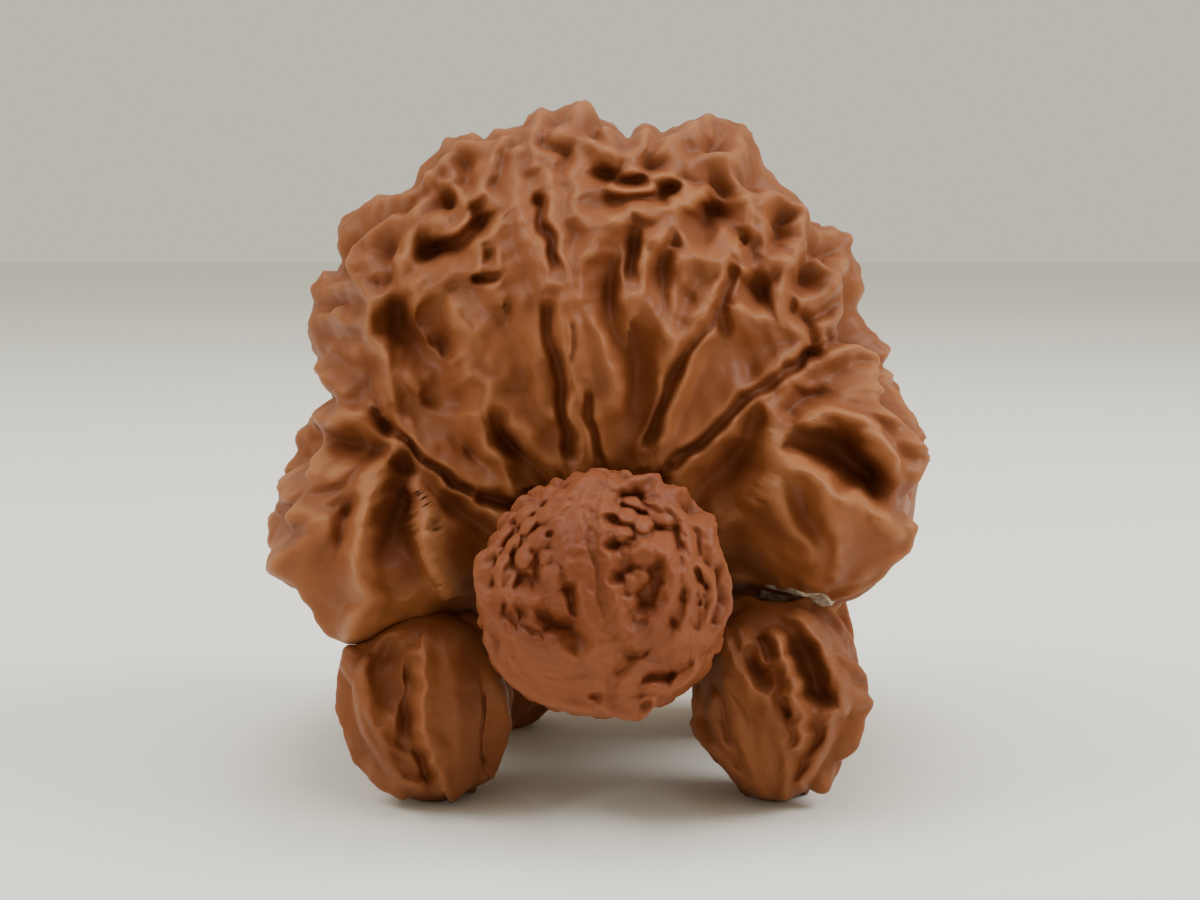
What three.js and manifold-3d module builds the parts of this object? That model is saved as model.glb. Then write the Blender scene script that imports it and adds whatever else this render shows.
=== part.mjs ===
// Animal figure glued together from polished brown walnuts: one big oddly grown nut is the body,
// a small pebbled nut is the head, and four small nuts are the feet. Millimetres, +Z up, head to -Y.
import * as THREE from 'three';
import { mergeVertices } from 'three/addons/utils/BufferGeometryUtils.js';
import { SimplifyModifier } from 'three/addons/modifiers/SimplifyModifier.js';
import Module from 'manifold-3d';

const wasm = await Module();
wasm.setup();

// Driving dimensions
const HEAD_HEIGHT = 18.6;         // middle of the head nut above the floor
const FOOT_DEPTH = 1.8;           // middle of the front feet behind the working origin
const REAR_FOOT_DEPTH = 27.0;     // middle of the rear feet behind the working origin
const GLUE_GAP = 0.12;            // clearance between neighbouring pieces
const GLUE_THICK = 0.6;           // thickness of each glue pad
const GLUE_RADIUS = 3.2;          // how far a glue pad spreads
const CENTRE_SHIFT = [0.04, -17.03, 0];   // puts the middle of the figure's underside at the origin

// Mesh fineness: a ball of detail n has 20 (n + 1)^2 triangles and is thinned out to the number kept
const BODY_DETAIL = 60;
const BODY_TRIANGLES = 9700;
const HEAD_DETAIL = 32;
const HEAD_TRIANGLES = 2700;
const FOOT_DETAIL = 20;
const FOOT_TRIANGLES = 700;

// Viewpoint of the photo, used to lay the traced lines onto the nuts. Pixels are of a 1200 x 900 picture.
const FOCAL_PX = 2200;
const TILT = THREE.MathUtils.degToRad(6.5);
const EYE = new THREE.Vector3(0, -170.7, 47.7);
const AHEAD = new THREE.Vector3(0, Math.cos(TILT), -Math.sin(TILT));
const ABOVE = new THREE.Vector3(0, Math.sin(TILT), Math.cos(TILT));
const LOOK_FROM = 145;            // the nuts lie between these distances from the eye
const LOOK_TO = 235;

// Plain forms under the relief: each nut is a few ellipsoids run together. [middle, radii]
const BODY_FORM = {
  middle: [-0.5, 22, 28],
  blend: 1.1,
  blobs: [
    [[-0.9, 23.5, 33], [21.8, 24, 21]],
    [[-16.4, 20.6, 19], [9.6, 20.6, 8.8]],
    [[17, 21, 23.2], [9.8, 22, 9.9]],
    [[0, 22, 22], [19, 20.5, 10]],
  ],
};
const HEAD_FORM = {
  middle: [0.2, -6.2, 18],
  blend: 0.8,
  blobs: [
    [[0.2, -6.4, HEAD_HEIGHT], [9, 8.4, 8.3]],
    [[0.2, -6, 15], [8.4, 7.8, 6.2]],
  ],
};
const FOOT_FORMS = {
  front_left: {
    middle: [-13.7, FOOT_DEPTH, 7.6],
    blend: 0.6,
    blobs: [
      [[-13.8, FOOT_DEPTH, 8.4], [6.1, 6.5, 6.8]],
      [[-13.4, FOOT_DEPTH, 4.6], [4.6, 4.7, 4.8]],
    ],
  },
  front_right: {
    middle: [13.9, FOOT_DEPTH, 7.6],
    blend: 0.6,
    blobs: [
      [[14.1, FOOT_DEPTH, 8.8], [6.2, 6.5, 7.2]],
      [[13.9, FOOT_DEPTH, 4.6], [4.2, 4.6, 4.8]],
    ],
  },
  rear_left: {
    middle: [-10, REAR_FOOT_DEPTH, 7],
    blend: 0.5,
    blobs: [[[-10, REAR_FOOT_DEPTH, 7.2], [6.4, 6.8, 7.4]]],
  },
  rear_right: {
    middle: [15.8, REAR_FOOT_DEPTH, 7.5],
    blend: 0.5,
    blobs: [[[15.8, REAR_FOOT_DEPTH, 7.5], [6.4, 6.8, 7.8]]],
  },
};

// Folds of the body as seen in the photo: name, crest line in pixels, height,
// and how far the flank reaches on the left and on the right of the line, in mm.
const BODY_FOLDS = [
  ['seam blade left', [
    [516, 155], [512, 180], [515, 212], [530, 245], [545, 282], [552, 312], [557, 345],
  ], 2.9, 2.6, 2],
  ['seam blade right', [
    [548, 155], [549, 212], [559, 255], [566, 292], [571, 330], [573, 380], [573, 420], [579, 468],
  ], 2.8, 1.6, 2.6],
  ['seam tongue at the top', [[531, 128], [531, 145], [537, 165]], 2.8, 1.2, 1.2],
  ['broad valve left of the seam', [
    [500, 226], [506, 250], [520, 290], [535, 330], [545, 370], [550, 410],
  ], 2.3, 3, 2.6],
  ['fold right of the seam', [
    [617, 221], [600, 240], [586, 260], [579, 285], [578, 330], [584, 370], [588, 410], [592, 450],
  ], 2.6, 2.2, 2.2],
  ['wavy flap beside the seam', [
    [592, 300], [597, 330], [604, 350], [612, 368], [613, 388], [608, 402], [597, 416],
  ], 2.6, 1.4, 2.2],
  ['top knob, middle', [[583, 104], [572, 116], [560, 127]], 3, 2, 2],
  ['top knob, left of the seam', [[541, 110], [532, 124]], 2.6, 1.6, 1.6],
  ['top left step', [[500, 132], [518, 131]], 2, 1.6, 1.6],
  ['upright fold, top left', [[503, 134], [492, 155], [486, 175], [482, 192]], 2.7, 1.4, 1.6],
  ['lip over the upper pit', [
    [557, 127], [575, 137], [592, 143], [605, 151], [618, 157], [628, 157], [634, 170],
  ], 2.7, 1.6, 1.4],
  ['top notch knob', [[608, 124], [612, 142]], 2.4, 1.2, 1.2],
  ['top right knob', [[644, 127], [640, 145], [634, 158]], 2.6, 1.3, 1.3],
  ['far right top fold', [[708, 117], [692, 131], [672, 139], [664, 152]], 2.9, 1.8, 1.8],
  ['ladder down the top right', [
    [741, 127], [738, 150], [728, 168], [742, 190], [752, 206], [749, 226],
  ], 2.7, 2, 1.5],
  ['small loop, top right', [[683, 150], [676, 162], [668, 178], [684, 184], [690, 196]], 2.4, 1.2, 1.2],
  ['bridge under the top right', [[690, 165], [705, 158], [725, 160]], 2.4, 1.6, 1.6],
  ['arch over the three slits', [
    [622, 220], [633, 209], [650, 212], [668, 210], [683, 203], [700, 195], [714, 193], [727, 198],
    [742, 200],
  ], 2.6, 1.6, 1.3],
  ['bar between the small pits', [[618, 190], [640, 190], [655, 180], [668, 178]], 2.3, 1.2, 1],
  ['wall of the upper pit', [[578, 150], [574, 180], [577, 215], [590, 228], [612, 222]], 2.2, 2.6, 1.6],
  ['edge of the second slit', [[657, 239], [646, 252], [640, 270], [637, 292], [634, 315]], 2.5, 0.9, 2.8],
  ['edge of the third slit', [[690, 252], [683, 264], [680, 285], [676, 310], [668, 335]], 2.3, 1.6, 1.2],
  ['top of the right tongue', [[690, 252], [705, 258], [722, 258], [736, 249]], 2.5, 1.4, 2.4],
  ['lip left of the diagonal pit', [[680, 225], [684, 240], [690, 251]], 2.4, 1.5, 1],
  ['lip of the right seam', [[736, 250], [727, 285], [712, 312], [692, 340], [678, 352]], 2.6, 1, 3],
  ['faint line on the tongue', [[638, 296], [652, 312], [665, 330], [675, 349]], 2.2, 2.4, 2.4],
  ['neck above the tongue', [[655, 240], [668, 222], [681, 205]], 2.4, 1.6, 1.6],
  ['arch of the right valve', [
    [742, 308], [765, 318], [790, 327], [804, 338], [795, 352], [782, 363], [776, 377],
  ], 2.5, 1.5, 2.8],
  ['inner edge of the right valve', [
    [704, 330], [690, 350], [678, 375], [668, 405], [658, 440],
  ], 2, 1.2, 3.4],
  ['right band', [
    [676, 473], [700, 450], [725, 428], [745, 408], [770, 391], [790, 379], [812, 370], [832, 360],
  ], 2.5, 1.3, 2.4],
  ["band's upper edge", [
    [655, 462], [690, 443], [720, 421], [742, 397], [758, 385], [778, 374],
  ], 1.9, 3.2, 0.9],
  ['stair of knobs, right', [
    [751, 215], [765, 221], [764, 236], [767, 254], [784, 263], [783, 282], [778, 312],
  ], 2.6, 1.5, 1.5],
  ['roof of the square pit', [[742, 268], [760, 270], [775, 262], [784, 262]], 2.2, 1.2, 1.4],
  ['round loop, right shoulder', [
    [765, 204], [778, 192], [791, 195], [800, 210], [800, 240], [794, 257], [782, 260],
  ], 2.7, 1.6, 1.4],
  ['far loop, right shoulder', [
    [800, 208], [812, 222], [822, 230], [843, 232], [851, 241], [845, 255], [838, 270], [836, 285],
  ], 2.5, 1.7, 1.7],
  ['inner hook, right shoulder', [
    [820, 260], [832, 275], [830, 292], [818, 300], [800, 300], [788, 300],
  ], 2.3, 1.3, 1.3],
  ['outer bump, right shoulder', [[855, 262], [860, 285], [858, 305]], 2, 1.6, 1.6],
  ['bright fold, right shoulder', [
    [842, 285], [845, 305], [835, 322], [822, 328], [826, 346],
  ], 2.4, 1.3, 1.3],
  ['short step, right', [[784, 322], [800, 330]], 2.2, 1.2, 1.2],
  ['double knob, right', [
    [846, 336], [858, 350], [864, 366], [862, 385], [848, 398], [836, 407],
  ], 2.6, 1.5, 1.4],
  ['wavy fold under the knobs', [
    [836, 350], [838, 366], [832, 377], [812, 384], [792, 385], [782, 400], [772, 410],
  ], 2.4, 1.4, 1.4],
  ['wavy hem, upper', [
    [845, 405], [828, 409], [816, 419], [815, 432], [805, 442], [793, 454], [790, 466], [796, 478],
    [787, 490], [780, 503],
  ], 2.7, 2, 1.6],
  ['hem valley edge', [[770, 408], [785, 425], [800, 437]], 2.2, 1.6, 1.8],
  ['wavy hem, lower', [
    [768, 420], [777, 442], [777, 478], [765, 490], [752, 503], [738, 514], [722, 522],
  ], 2.5, 1.2, 3.4],
  ['arch over the right cavity', [
    [814, 424], [822, 414], [834, 411], [846, 414], [862, 419], [875, 425], [883, 436], [889, 450],
    [896, 464], [900, 484], [904, 502], [908, 520],
  ], 4.6, 1.7, 2],
  ['sill of the right cavity', [
    [796, 457], [806, 464], [815, 472], [830, 484], [846, 494], [864, 503], [882, 511], [898, 519],
  ], 3, 1.6, 4],
  ['outer fold, right lobe', [
    [844, 345], [856, 350], [862, 362], [863, 376], [870, 388], [878, 400], [888, 412], [900, 424],
    [914, 434], [926, 446],
  ], 3.8, 1.4, 3],
  ['outer shoulder, right lobe', [
    [868, 330], [882, 346], [888, 358], [883, 368], [890, 384], [902, 400], [912, 420], [924, 436],
  ], 3, 2, 2],
  ['outer edge, right lobe', [[926, 448], [921, 464], [918, 485], [914, 515], [909, 538]], 3, 1.6, 2.6],
  ['lower rib, inner', [
    [776, 490], [782, 512], [796, 530], [810, 548], [818, 565], [815, 582],
  ], 2.6, 2.2, 3],
  ['lower rib, outer', [
    [802, 462], [812, 482], [822, 500], [832, 516], [838, 535], [839, 552], [834, 572],
  ], 2.8, 2.4, 1.6],
  ["right lobe's rim", [
    [735, 597], [790, 602], [850, 595], [882, 577], [903, 555], [912, 530],
  ], 2.4, 1.2, 1.6],
  ["right lobe's belly", [[740, 585], [790, 591], [845, 584], [876, 566], [896, 545]], 2.4, 2.6, 1.2],
  ['arch over the left cavity', [
    [404, 258], [408, 237], [418, 223], [435, 222], [452, 228], [463, 232],
  ], 2.7, 1.6, 1.6],
  ['small arch, left top', [[418, 212], [427, 198], [440, 187], [453, 193], [458, 206]], 2.5, 1.5, 1.4],
  ['curled lip, left top', [
    [498, 204], [482, 196], [468, 198], [460, 208], [463, 223], [470, 232],
  ], 2.9, 1.7, 1.5],
  ['small flap, left top', [[492, 236], [481, 238], [479, 252], [482, 268]], 2.3, 1, 1],
  ["left blade's outer edge", [[500, 224], [493, 236], [496, 265], [501, 295]], 2.5, 0.9, 2.6],
  ['bump row, left top', [[430, 178], [440, 160], [452, 143], [468, 140], [482, 146]], 2.6, 1.8, 1.6],
  ['hook, left top', [[430, 182], [445, 183], [454, 176], [450, 160]], 2.2, 1.2, 1.2],
  ['link to the curled lip', [[482, 146], [478, 165], [480, 190]], 2.2, 1.3, 1.3],
  ['ridge along the left shoulder', [
    [348, 262], [350, 247], [362, 235], [378, 232], [390, 224], [405, 222], [418, 212],
  ], 2.5, 1.5, 1.5],
  ['far left shoulder', [[343, 228], [365, 212], [385, 198], [412, 197]], 2.3, 1.7, 1.7],
  ['left corner', [[340, 232], [337, 248], [343, 262]], 2, 1.6, 1.6],
  ['left corner step', [[412, 197], [425, 178]], 2, 1.6, 1.6],
  ['long fold left of the deep pit', [
    [350, 262], [367, 262], [372, 272], [362, 277], [368, 292], [375, 303], [373, 318], [369, 335],
    [378, 347], [386, 358], [390, 373], [392, 396],
  ], 2.6, 2.2, 1.6],
  ['roof of the deep pit', [[375, 303], [392, 292], [408, 288]], 2.3, 1.3, 1.3],
  ['long fold right of the deep pit', [
    [403, 258], [407, 280], [420, 301], [433, 317], [452, 321], [465, 340], [471, 358], [468, 373],
    [480, 388], [482, 402],
  ], 2.8, 3.4, 1.5],
  ['shelf above the valve', [[408, 280], [430, 285], [455, 272], [480, 268]], 2.2, 2.2, 2.2],
  ['upper left shelf', [[316, 288], [340, 285], [365, 296]], 2, 1.3, 1.3],
  ['middle left shelf', [[309, 318], [335, 315], [370, 320]], 2, 1.3, 1.5],
  ['lower left shelf', [[312, 345], [335, 350], [360, 352]], 1.2, 1.6, 1.6],
  ['tooth in the deep pit', [[453, 372], [453, 361], [463, 353]], 2, 0.9, 0.9],
  ['floor of the deep pit', [[405, 378], [425, 376], [450, 376]], 1.4, 2, 1.5],
  ['short fold, left', [[392, 396], [385, 408], [395, 425]], 1.6, 2, 2],
  ['left band, outer edge', [
    [316, 372], [335, 396], [358, 416], [382, 434], [402, 451], [425, 472], [448, 489], [475, 507],
    [500, 520],
  ], 2.9, 2.6, 1.3],
  ['left band, inner edge', [
    [385, 408], [402, 430], [430, 454], [456, 472], [482, 487], [515, 488],
  ], 2.4, 2.6, 1],
  ['lower edge of the broad valve', [
    [476, 330], [490, 355], [497, 378], [488, 396], [502, 410], [523, 431], [545, 454], [556, 468],
  ], 2.7, 3.4, 1.2],
  ['wavy fold above the head', [
    [482, 402], [477, 418], [480, 437], [492, 453], [505, 471], [514, 486],
  ], 2.6, 1.4, 1.4],
  ['left lobe, first fold', [
    [350, 418], [335, 428], [333, 440], [327, 455], [324, 470], [317, 486], [308, 498], [298, 510],
  ], 4.6, 3.2, 2.2],
  ['left lobe, small bar', [[348, 467], [356, 455], [368, 446], [378, 441]], 3.8, 1.6, 2.6],
  ['left lobe, small cap', [[345, 436], [352, 430], [362, 436]], 3.4, 1.4, 1.6],
  ['left lobe, short rib', [[333, 470], [331, 484], [330, 498]], 3.9, 3, 1.6],
  ['left lobe, second fold', [
    [334, 499], [322, 503], [313, 512], [308, 525], [302, 538], [292, 550], [283, 562],
  ], 3.8, 3.6, 3],
  ['left lobe, main fold', [
    [395, 451], [384, 460], [379, 467], [375, 480], [370, 491], [371, 502], [366, 514], [360, 523],
    [359, 537], [355, 556], [358, 574], [361, 590], [361, 606], [365, 622],
  ], 4.9, 2.4, 2],
  ['left lobe, inner fold', [
    [417, 478], [420, 500], [424, 530], [428, 552], [437, 572], [448, 592],
  ], 3.7, 4.6, 1.4],
  ["left lobe's outline, upper", [
    [338, 414], [322, 420], [308, 429], [296, 438], [292, 452], [291, 468], [284, 484], [286, 498],
  ], 3.4, 3, 2],
  ["left lobe's outline, lower", [
    [284, 500], [274, 514], [274, 540], [283, 560], [303, 588], [330, 612], [357, 632],
  ], 2.6, 3.2, 1.4],
  ["left lobe's rim", [
    [360, 626], [380, 634], [410, 638], [445, 634], [480, 624], [520, 610],
  ], 2.8, 1.5, 1],
  ["left lobe's belly", [[369, 612], [390, 622], [420, 624], [450, 619], [480, 608]], 2.5, 3, 1.4],
];
// Pits and grooves of the body: name, line in pixels, depth, reach.
const BODY_PITS = [
  ['shadow under the left band', [
    [338, 414], [352, 426], [374, 441], [398, 457], [422, 479], [445, 499], [480, 520],
  ], 1.95, 1.3],
  ['seam groove, upper', [[539, 150], [541, 204], [551, 243], [557, 276]], 1.95, 0.75],
  ['seam groove, lower', [
    [548, 295], [551, 330], [558, 370], [560, 405], [569, 440], [574, 466],
  ], 1.69, 0.85],
  ['hollow beside the seam', [[552, 370], [556, 400]], 1.04, 1.2],
  ['bright slit in the seam', [[570, 318], [573, 345], [569, 375], [571, 395]], 0.52, 0.35],
  ['groove right of the seam', [[586, 385], [588, 410], [593, 440], [598, 466]], 1.17, 0.6],
  ['upper pit', [[602, 176]], 2.6, 1.4],
  ['flat pit', [[621, 184], [643, 182]], 1.56, 0.8],
  ['second pit', [[590, 203]], 1.17, 1.5],
  ['second pit, right part', [[610, 205]], 1.17, 1.2],
  ['pit under the loop', [[662, 200], [673, 188]], 1.56, 0.9],
  ['small pit, top right', [[686, 170]], 1.3, 0.8],
  ['slot at the top right', [[712, 130], [698, 152]], 1.82, 0.9],
  ['dimple, top', [[650, 140]], 1.17, 0.8],
  ['slot in the top knob', [[587, 128], [588, 138]], 1.17, 0.6],
  ['diagonal pit', [[690, 242], [700, 226], [720, 205]], 3.9, 1.7],
  ['first slit', [[632, 232], [632, 285]], 3.38, 0.8],
  ['long hollow', [[602, 268], [605, 300], [620, 330]], 2.6, 1.5],
  ['hollow above the head', [[640, 350], [640, 400], [638, 450]], 2.08, 1.5],
  ['third slit', [[684, 275], [684, 318]], 1.56, 1],
  ['right seam', [
    [735, 262], [727, 288], [720, 307], [700, 330], [685, 350], [672, 376], [663, 400], [655, 430],
    [645, 455],
  ], 1.95, 0.8],
  ['square pit', [[757, 278], [755, 296]], 1.82, 1.7],
  ['small pit beside the square one', [[787, 305]], 1.82, 1],
  ['dent in the round loop', [[775, 215], [785, 235]], 1.17, 1.1],
  ['lower dent in the round loop', [[770, 240]], 1.04, 0.8],
  ['dent in the right valve', [[750, 368]], 0.91, 2],
  ['upper dent in the right valve', [[720, 322]], 0.78, 1.5],
  ['groove over the right band', [
    [672, 463], [697, 447], [722, 424], [742, 400], [758, 388], [778, 378], [800, 358], [812, 351],
  ], 1.69, 0.75],
  ['hollow under the right band', [[752, 420]], 1.3, 1.8],
  ['lower hollow, right', [[735, 450]], 0.78, 1.6],
  ['right cavity', [[816, 444], [832, 452], [852, 468], [874, 488]], 4.29, 3],
  ['right cavity, lower corner', [[803, 503]], 2.6, 1.6],
  ['small cavity beside the hem', [[852, 404], [878, 402]], 2.86, 1.3],
  ['trough of the outer fold', [[888, 432], [898, 455], [906, 482]], 2.6, 1.4],
  ['dimple beside the double knob', [[838, 342]], 1.56, 0.8],
  ['deep pit', [[428, 318], [446, 342]], 4.16, 2.3],
  ['deep pit, floor', [[398, 318], [422, 345], [442, 374]], 2.6, 3.2],
  ['left cavity', [[430, 252], [455, 243], [482, 226]], 3.38, 1.5],
  ['slot above the left cavity', [[455, 186], [459, 218]], 2.34, 0.9],
  ['small slot, left', [[478, 280], [497, 277]], 1.56, 0.7],
  ['slot beside the flap', [[488, 245], [488, 268]], 1.17, 0.6],
  ['dark corner, left shoulder', [[345, 281], [362, 277]], 1.95, 0.9],
  ['trough between the shelves', [[332, 303], [366, 306]], 1.56, 0.9],
  ['dimple, left top', [[460, 165]], 0.91, 1.1],
  ['dent in the small arch', [[446, 208]], 1.17, 1],
  ['hollow under the deep pit', [[430, 392], [470, 395]], 2.34, 1.6],
  ['groove in the left band', [[378, 408], [400, 437], [430, 463], [458, 486], [482, 499]], 1.56, 0.7],
  ['shadow beside the head', [[485, 498], [515, 504]], 2.08, 1.1],
  ['trough above the head', [[500, 420], [510, 450]], 1.56, 1.1],
  ['trough left of it', [[470, 420], [475, 450]], 1.04, 1],
  ['left lobe, main pit', [[400, 478], [394, 508], [393, 545], [399, 574]], 3.12, 2.5],
  ['left lobe, second pit', [[357, 474], [351, 505], [346, 534]], 2.6, 1.5],
  ['left lobe, outer trough', [[312, 466], [302, 490]], 1.56, 1.4],
  ['left lobe, upper trough', [[322, 440], [308, 470]], 1.69, 1.2],
  ['left lobe, slot', [[355, 440], [372, 437]], 1.3, 0.6],
  ['left rim groove', [[360, 622], [385, 630], [430, 628], [480, 613]], 0.78, 0.5],
  ['right rim groove', [[740, 583], [790, 590], [850, 580], [880, 563]], 0.65, 0.5],
];
// Broad swells of the lobes: name, line in pixels, height, reach.
const BODY_SWELLS = [
  ['left lobe, lower belly', [[378, 580], [400, 592], [430, 600]], 2.4, 4.2],
  ['left lobe, inner belly', [[440, 520], [455, 550], [465, 585]], 2.6, 4.6],
  ['left lobe, outer belly', [[300, 545], [318, 570], [340, 596]], 2.6, 4.4],
  ['right lobe, lower belly', [[850, 545], [875, 535]], 2.2, 4.6],
  ['right lobe, inner belly', [[745, 545], [775, 560], [800, 560]], 2.4, 4.8],
  ['right lobe, tongue', [[815, 520], [820, 545], [826, 560]], 1.8, 3],
];
// Upper outline of the body in pixels, from the right flank over the top to the left flank.
const BODY_OUTLINE = [
  [847, 595], [875, 582], [900, 560], [911, 535], [917, 500], [921, 465], [927, 450], [926, 435],
  [917, 425], [905, 402], [897, 385], [886, 370], [890, 352], [880, 341], [867, 328], [857, 310],
  [862, 290], [861, 275], [850, 252], [852, 240], [837, 230], [820, 229], [807, 222], [804, 207],
  [795, 196], [780, 187], [767, 170], [755, 145], [751, 133], [745, 127], [733, 126], [722, 122],
  [710, 116], [692, 123], [675, 129], [662, 135], [654, 128], [645, 125], [637, 129], [628, 143],
  [620, 134], [613, 126], [600, 122], [592, 107], [580, 104], [568, 107], [552, 113], [541, 109],
  [530, 116], [522, 128], [507, 131], [495, 131], [484, 142], [472, 135], [457, 140], [445, 142],
  [436, 155], [422, 167], [412, 189], [400, 197], [375, 199], [360, 210], [342, 223], [337, 245],
  [342, 266], [337, 275], [322, 276], [312, 290], [314, 306], [306, 330], [310, 350], [319, 361],
  [315, 375], [328, 384], [333, 403], [330, 413], [310, 422], [295, 437], [291, 460], [283, 490],
  [286, 500], [273, 515], [273, 540], [285, 565], [305, 590], [357, 634],
];
const RIM_BACK = 3;               // the outline lies this far in front of the body's middle
const BODY_CELLS = 150;

// Folds of the head nut.
const HEAD_FOLDS = [
  ['band left', [
    [580, 479], [567, 500], [556, 517], [562, 540], [570, 562], [582, 590], [588, 620],
  ], 1.17, 1.1, 1.3],
  ['band right', [
    [612, 478], [604, 505], [602, 535], [606, 560], [611, 590], [620, 620], [630, 640],
  ], 1.17, 1.2, 0.8],
  ['band, upper left foot', [[560, 492], [548, 508], [546, 518]], 1.04, 0.7, 0.7],
  ['crown right', [[625, 482], [640, 478], [655, 480], [664, 492], [658, 505]], 1.17, 0.8, 0.7],
  ['right brow', [[672, 492], [692, 494], [706, 508], [716, 528], [719, 552]], 1.17, 1.3, 1.3],
  ['right cheek line', [[656, 505], [672, 506], [684, 520], [690, 545], [688, 570]], 1.04, 1, 0.8],
  ['right outer line', [[690, 520], [702, 528], [706, 545]], 0.78, 0.8, 0.7],
  ['edge of the right hollow', [
    [636, 556], [655, 548], [668, 556], [674, 575], [668, 600], [655, 622],
  ], 1.17, 1.2, 0.9],
  ['lower right cheek', [[684, 575], [692, 590], [688, 615], [676, 640]], 1.04, 1, 1],
  ['outer cheek line', [[700, 566], [712, 580], [714, 600], [706, 622]], 1.04, 0.8, 0.8],
  ['far cheek', [[722, 560], [731, 580], [732, 606], [722, 630]], 0.91, 0.9, 0.9],
  ['lower left lobe', [
    [480, 560], [478, 585], [486, 610], [505, 632], [535, 648], [570, 652],
  ], 1.04, 1.4, 1.4],
  ['lip over the left hollow', [[500, 566], [500, 590], [515, 600], [540, 600], [560, 612]], 1.04, 1, 0.7],
  ['left underside', [[487, 630], [492, 660], [510, 682], [540, 700], [575, 708]], 0.65, 1.3, 1.3],
  ['chin left', [[570, 640], [590, 650], [600, 670], [600, 690]], 0.91, 1.2, 1.2],
  ['lower right lobe', [[640, 630], [660, 640], [690, 640], [712, 640]], 0.91, 1.4, 1.4],
  ['chin right', [[640, 665], [625, 680], [622, 700], [632, 714]], 1.17, 1.2, 1],
  ['tip', [[600, 700], [608, 716], [640, 716], [653, 703]], 1.17, 0.9, 0.9],
  ['lower right step', [[650, 688], [670, 690], [690, 683], [698, 670]], 1.04, 1, 0.8],
  ['lower left step', [[575, 708], [590, 712]], 0.78, 0.8, 0.8],
];
// Round pebbles of the head nut: pixel, radius, height.
const HEAD_PEBBLES = [
  [518, 508, 1.15, 1.14], [528, 524, 0.98, 1.04], [541, 538, 1.26, 1.14], [512, 543, 0.92, 1.04],
  [546, 556, 0.8, 1.04], [496, 528, 1.26, 0.85], [490, 545, 1.03, 0.85], [505, 562, 0.8, 0.85],
  [524, 556, 1.03, 0.95], [545, 492, 1.26, 0.85], [525, 492, 1.15, 0.85], [505, 512, 0.8, 0.76],
  [533, 508, 0.8, 0.76], [484, 560, 0.92, 0.76], [553, 580, 1.21, 1.33], [560, 598, 1.03, 1.04],
  [572, 560, 0.92, 0.76], [633, 502, 0.86, 1.04], [628, 516, 0.98, 1.14], [643, 523, 0.92, 1.04],
  [655, 490, 1.15, 0.95], [663, 515, 1.38, 1.04], [622, 534, 0.86, 1.04], [628, 553, 0.69, 0.85],
  [646, 548, 0.92, 1.04], [631, 582, 0.92, 1.04], [640, 575, 0.92, 0.95], [627, 603, 1.03, 1.04],
  [612, 507, 0.69, 0.95], [645, 508, 0.57, 0.76], [636, 620, 0.69, 0.85], [582, 628, 0.92, 0.95],
  [700, 590, 0.69, 0.85], [704, 606, 0.69, 0.76], [690, 655, 0.92, 0.57], [500, 650, 1.03, 0.38],
  [512, 668, 1.03, 0.38],
];
// Pores and grooves of the head nut.
const HEAD_PITS = [
  ['left basin', [[505, 518], [532, 548]], 1.05, 3],
  ['right basin', [[628, 500], [654, 522]], 1.2, 2.4],
  ['lower right basin', [[632, 560], [640, 600]], 1.05, 1.8],
  ['slit', [[583, 482], [585, 520], [590, 545], [595, 563], [600, 600], [606, 630]], 0.38, 0.25],
  ['pore 1', [[610, 520]], 2.25, 0.8],
  ['pore 2', [[668, 498]], 1.5, 0.6],
  ['pore 3', [[649, 513]], 1.2, 0.35],
  ['pore 4', [[655, 534]], 1.05, 0.5],
  ['pore 5', [[612, 546]], 2.4, 0.75],
  ['pore 6', [[617, 577]], 2.55, 0.8],
  ['pore 7', [[622, 562]], 1.05, 0.5],
  ['pore 8', [[630, 540]], 0.9, 0.4],
  ['right hollow', [[642, 572], [641, 600], [637, 620]], 1.95, 0.95],
  ['pore 9', [[550, 535]], 1.8, 0.65],
  ['pore 10', [[514, 529]], 1.5, 0.55],
  ['left hollow, upper', [[525, 582], [543, 585]], 1.35, 1.1],
  ['left hollow', [[548, 614], [568, 626], [578, 641]], 2.25, 1.3],
  ['left dent', [[520, 608]], 1.05, 0.9],
  ['slot beside the band', [[571, 588], [575, 612]], 1.65, 0.6],
  ['lower right slot', [[650, 677], [668, 678]], 1.8, 0.7],
  ['slot beside the tip', [[643, 697]], 1.8, 0.6],
  ['slot left of the tip', [[596, 697]], 2.1, 0.75],
  ['cheek nick', [[700, 537], [704, 548]], 0.6, 0.3],
  ['cheek pore', [[697, 572]], 1.05, 0.5],
  ['cheek slot', [[718, 590], [717, 615]], 0.75, 0.35],
  ['right dent', [[660, 600]], 0.6, 0.8],
  ['lower left dent', [[540, 675], [560, 678]], 0.45, 0.4],
  ['crown pore', [[632, 488]], 0.9, 0.4],
];
const HEAD_CELLS = 260;

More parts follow.
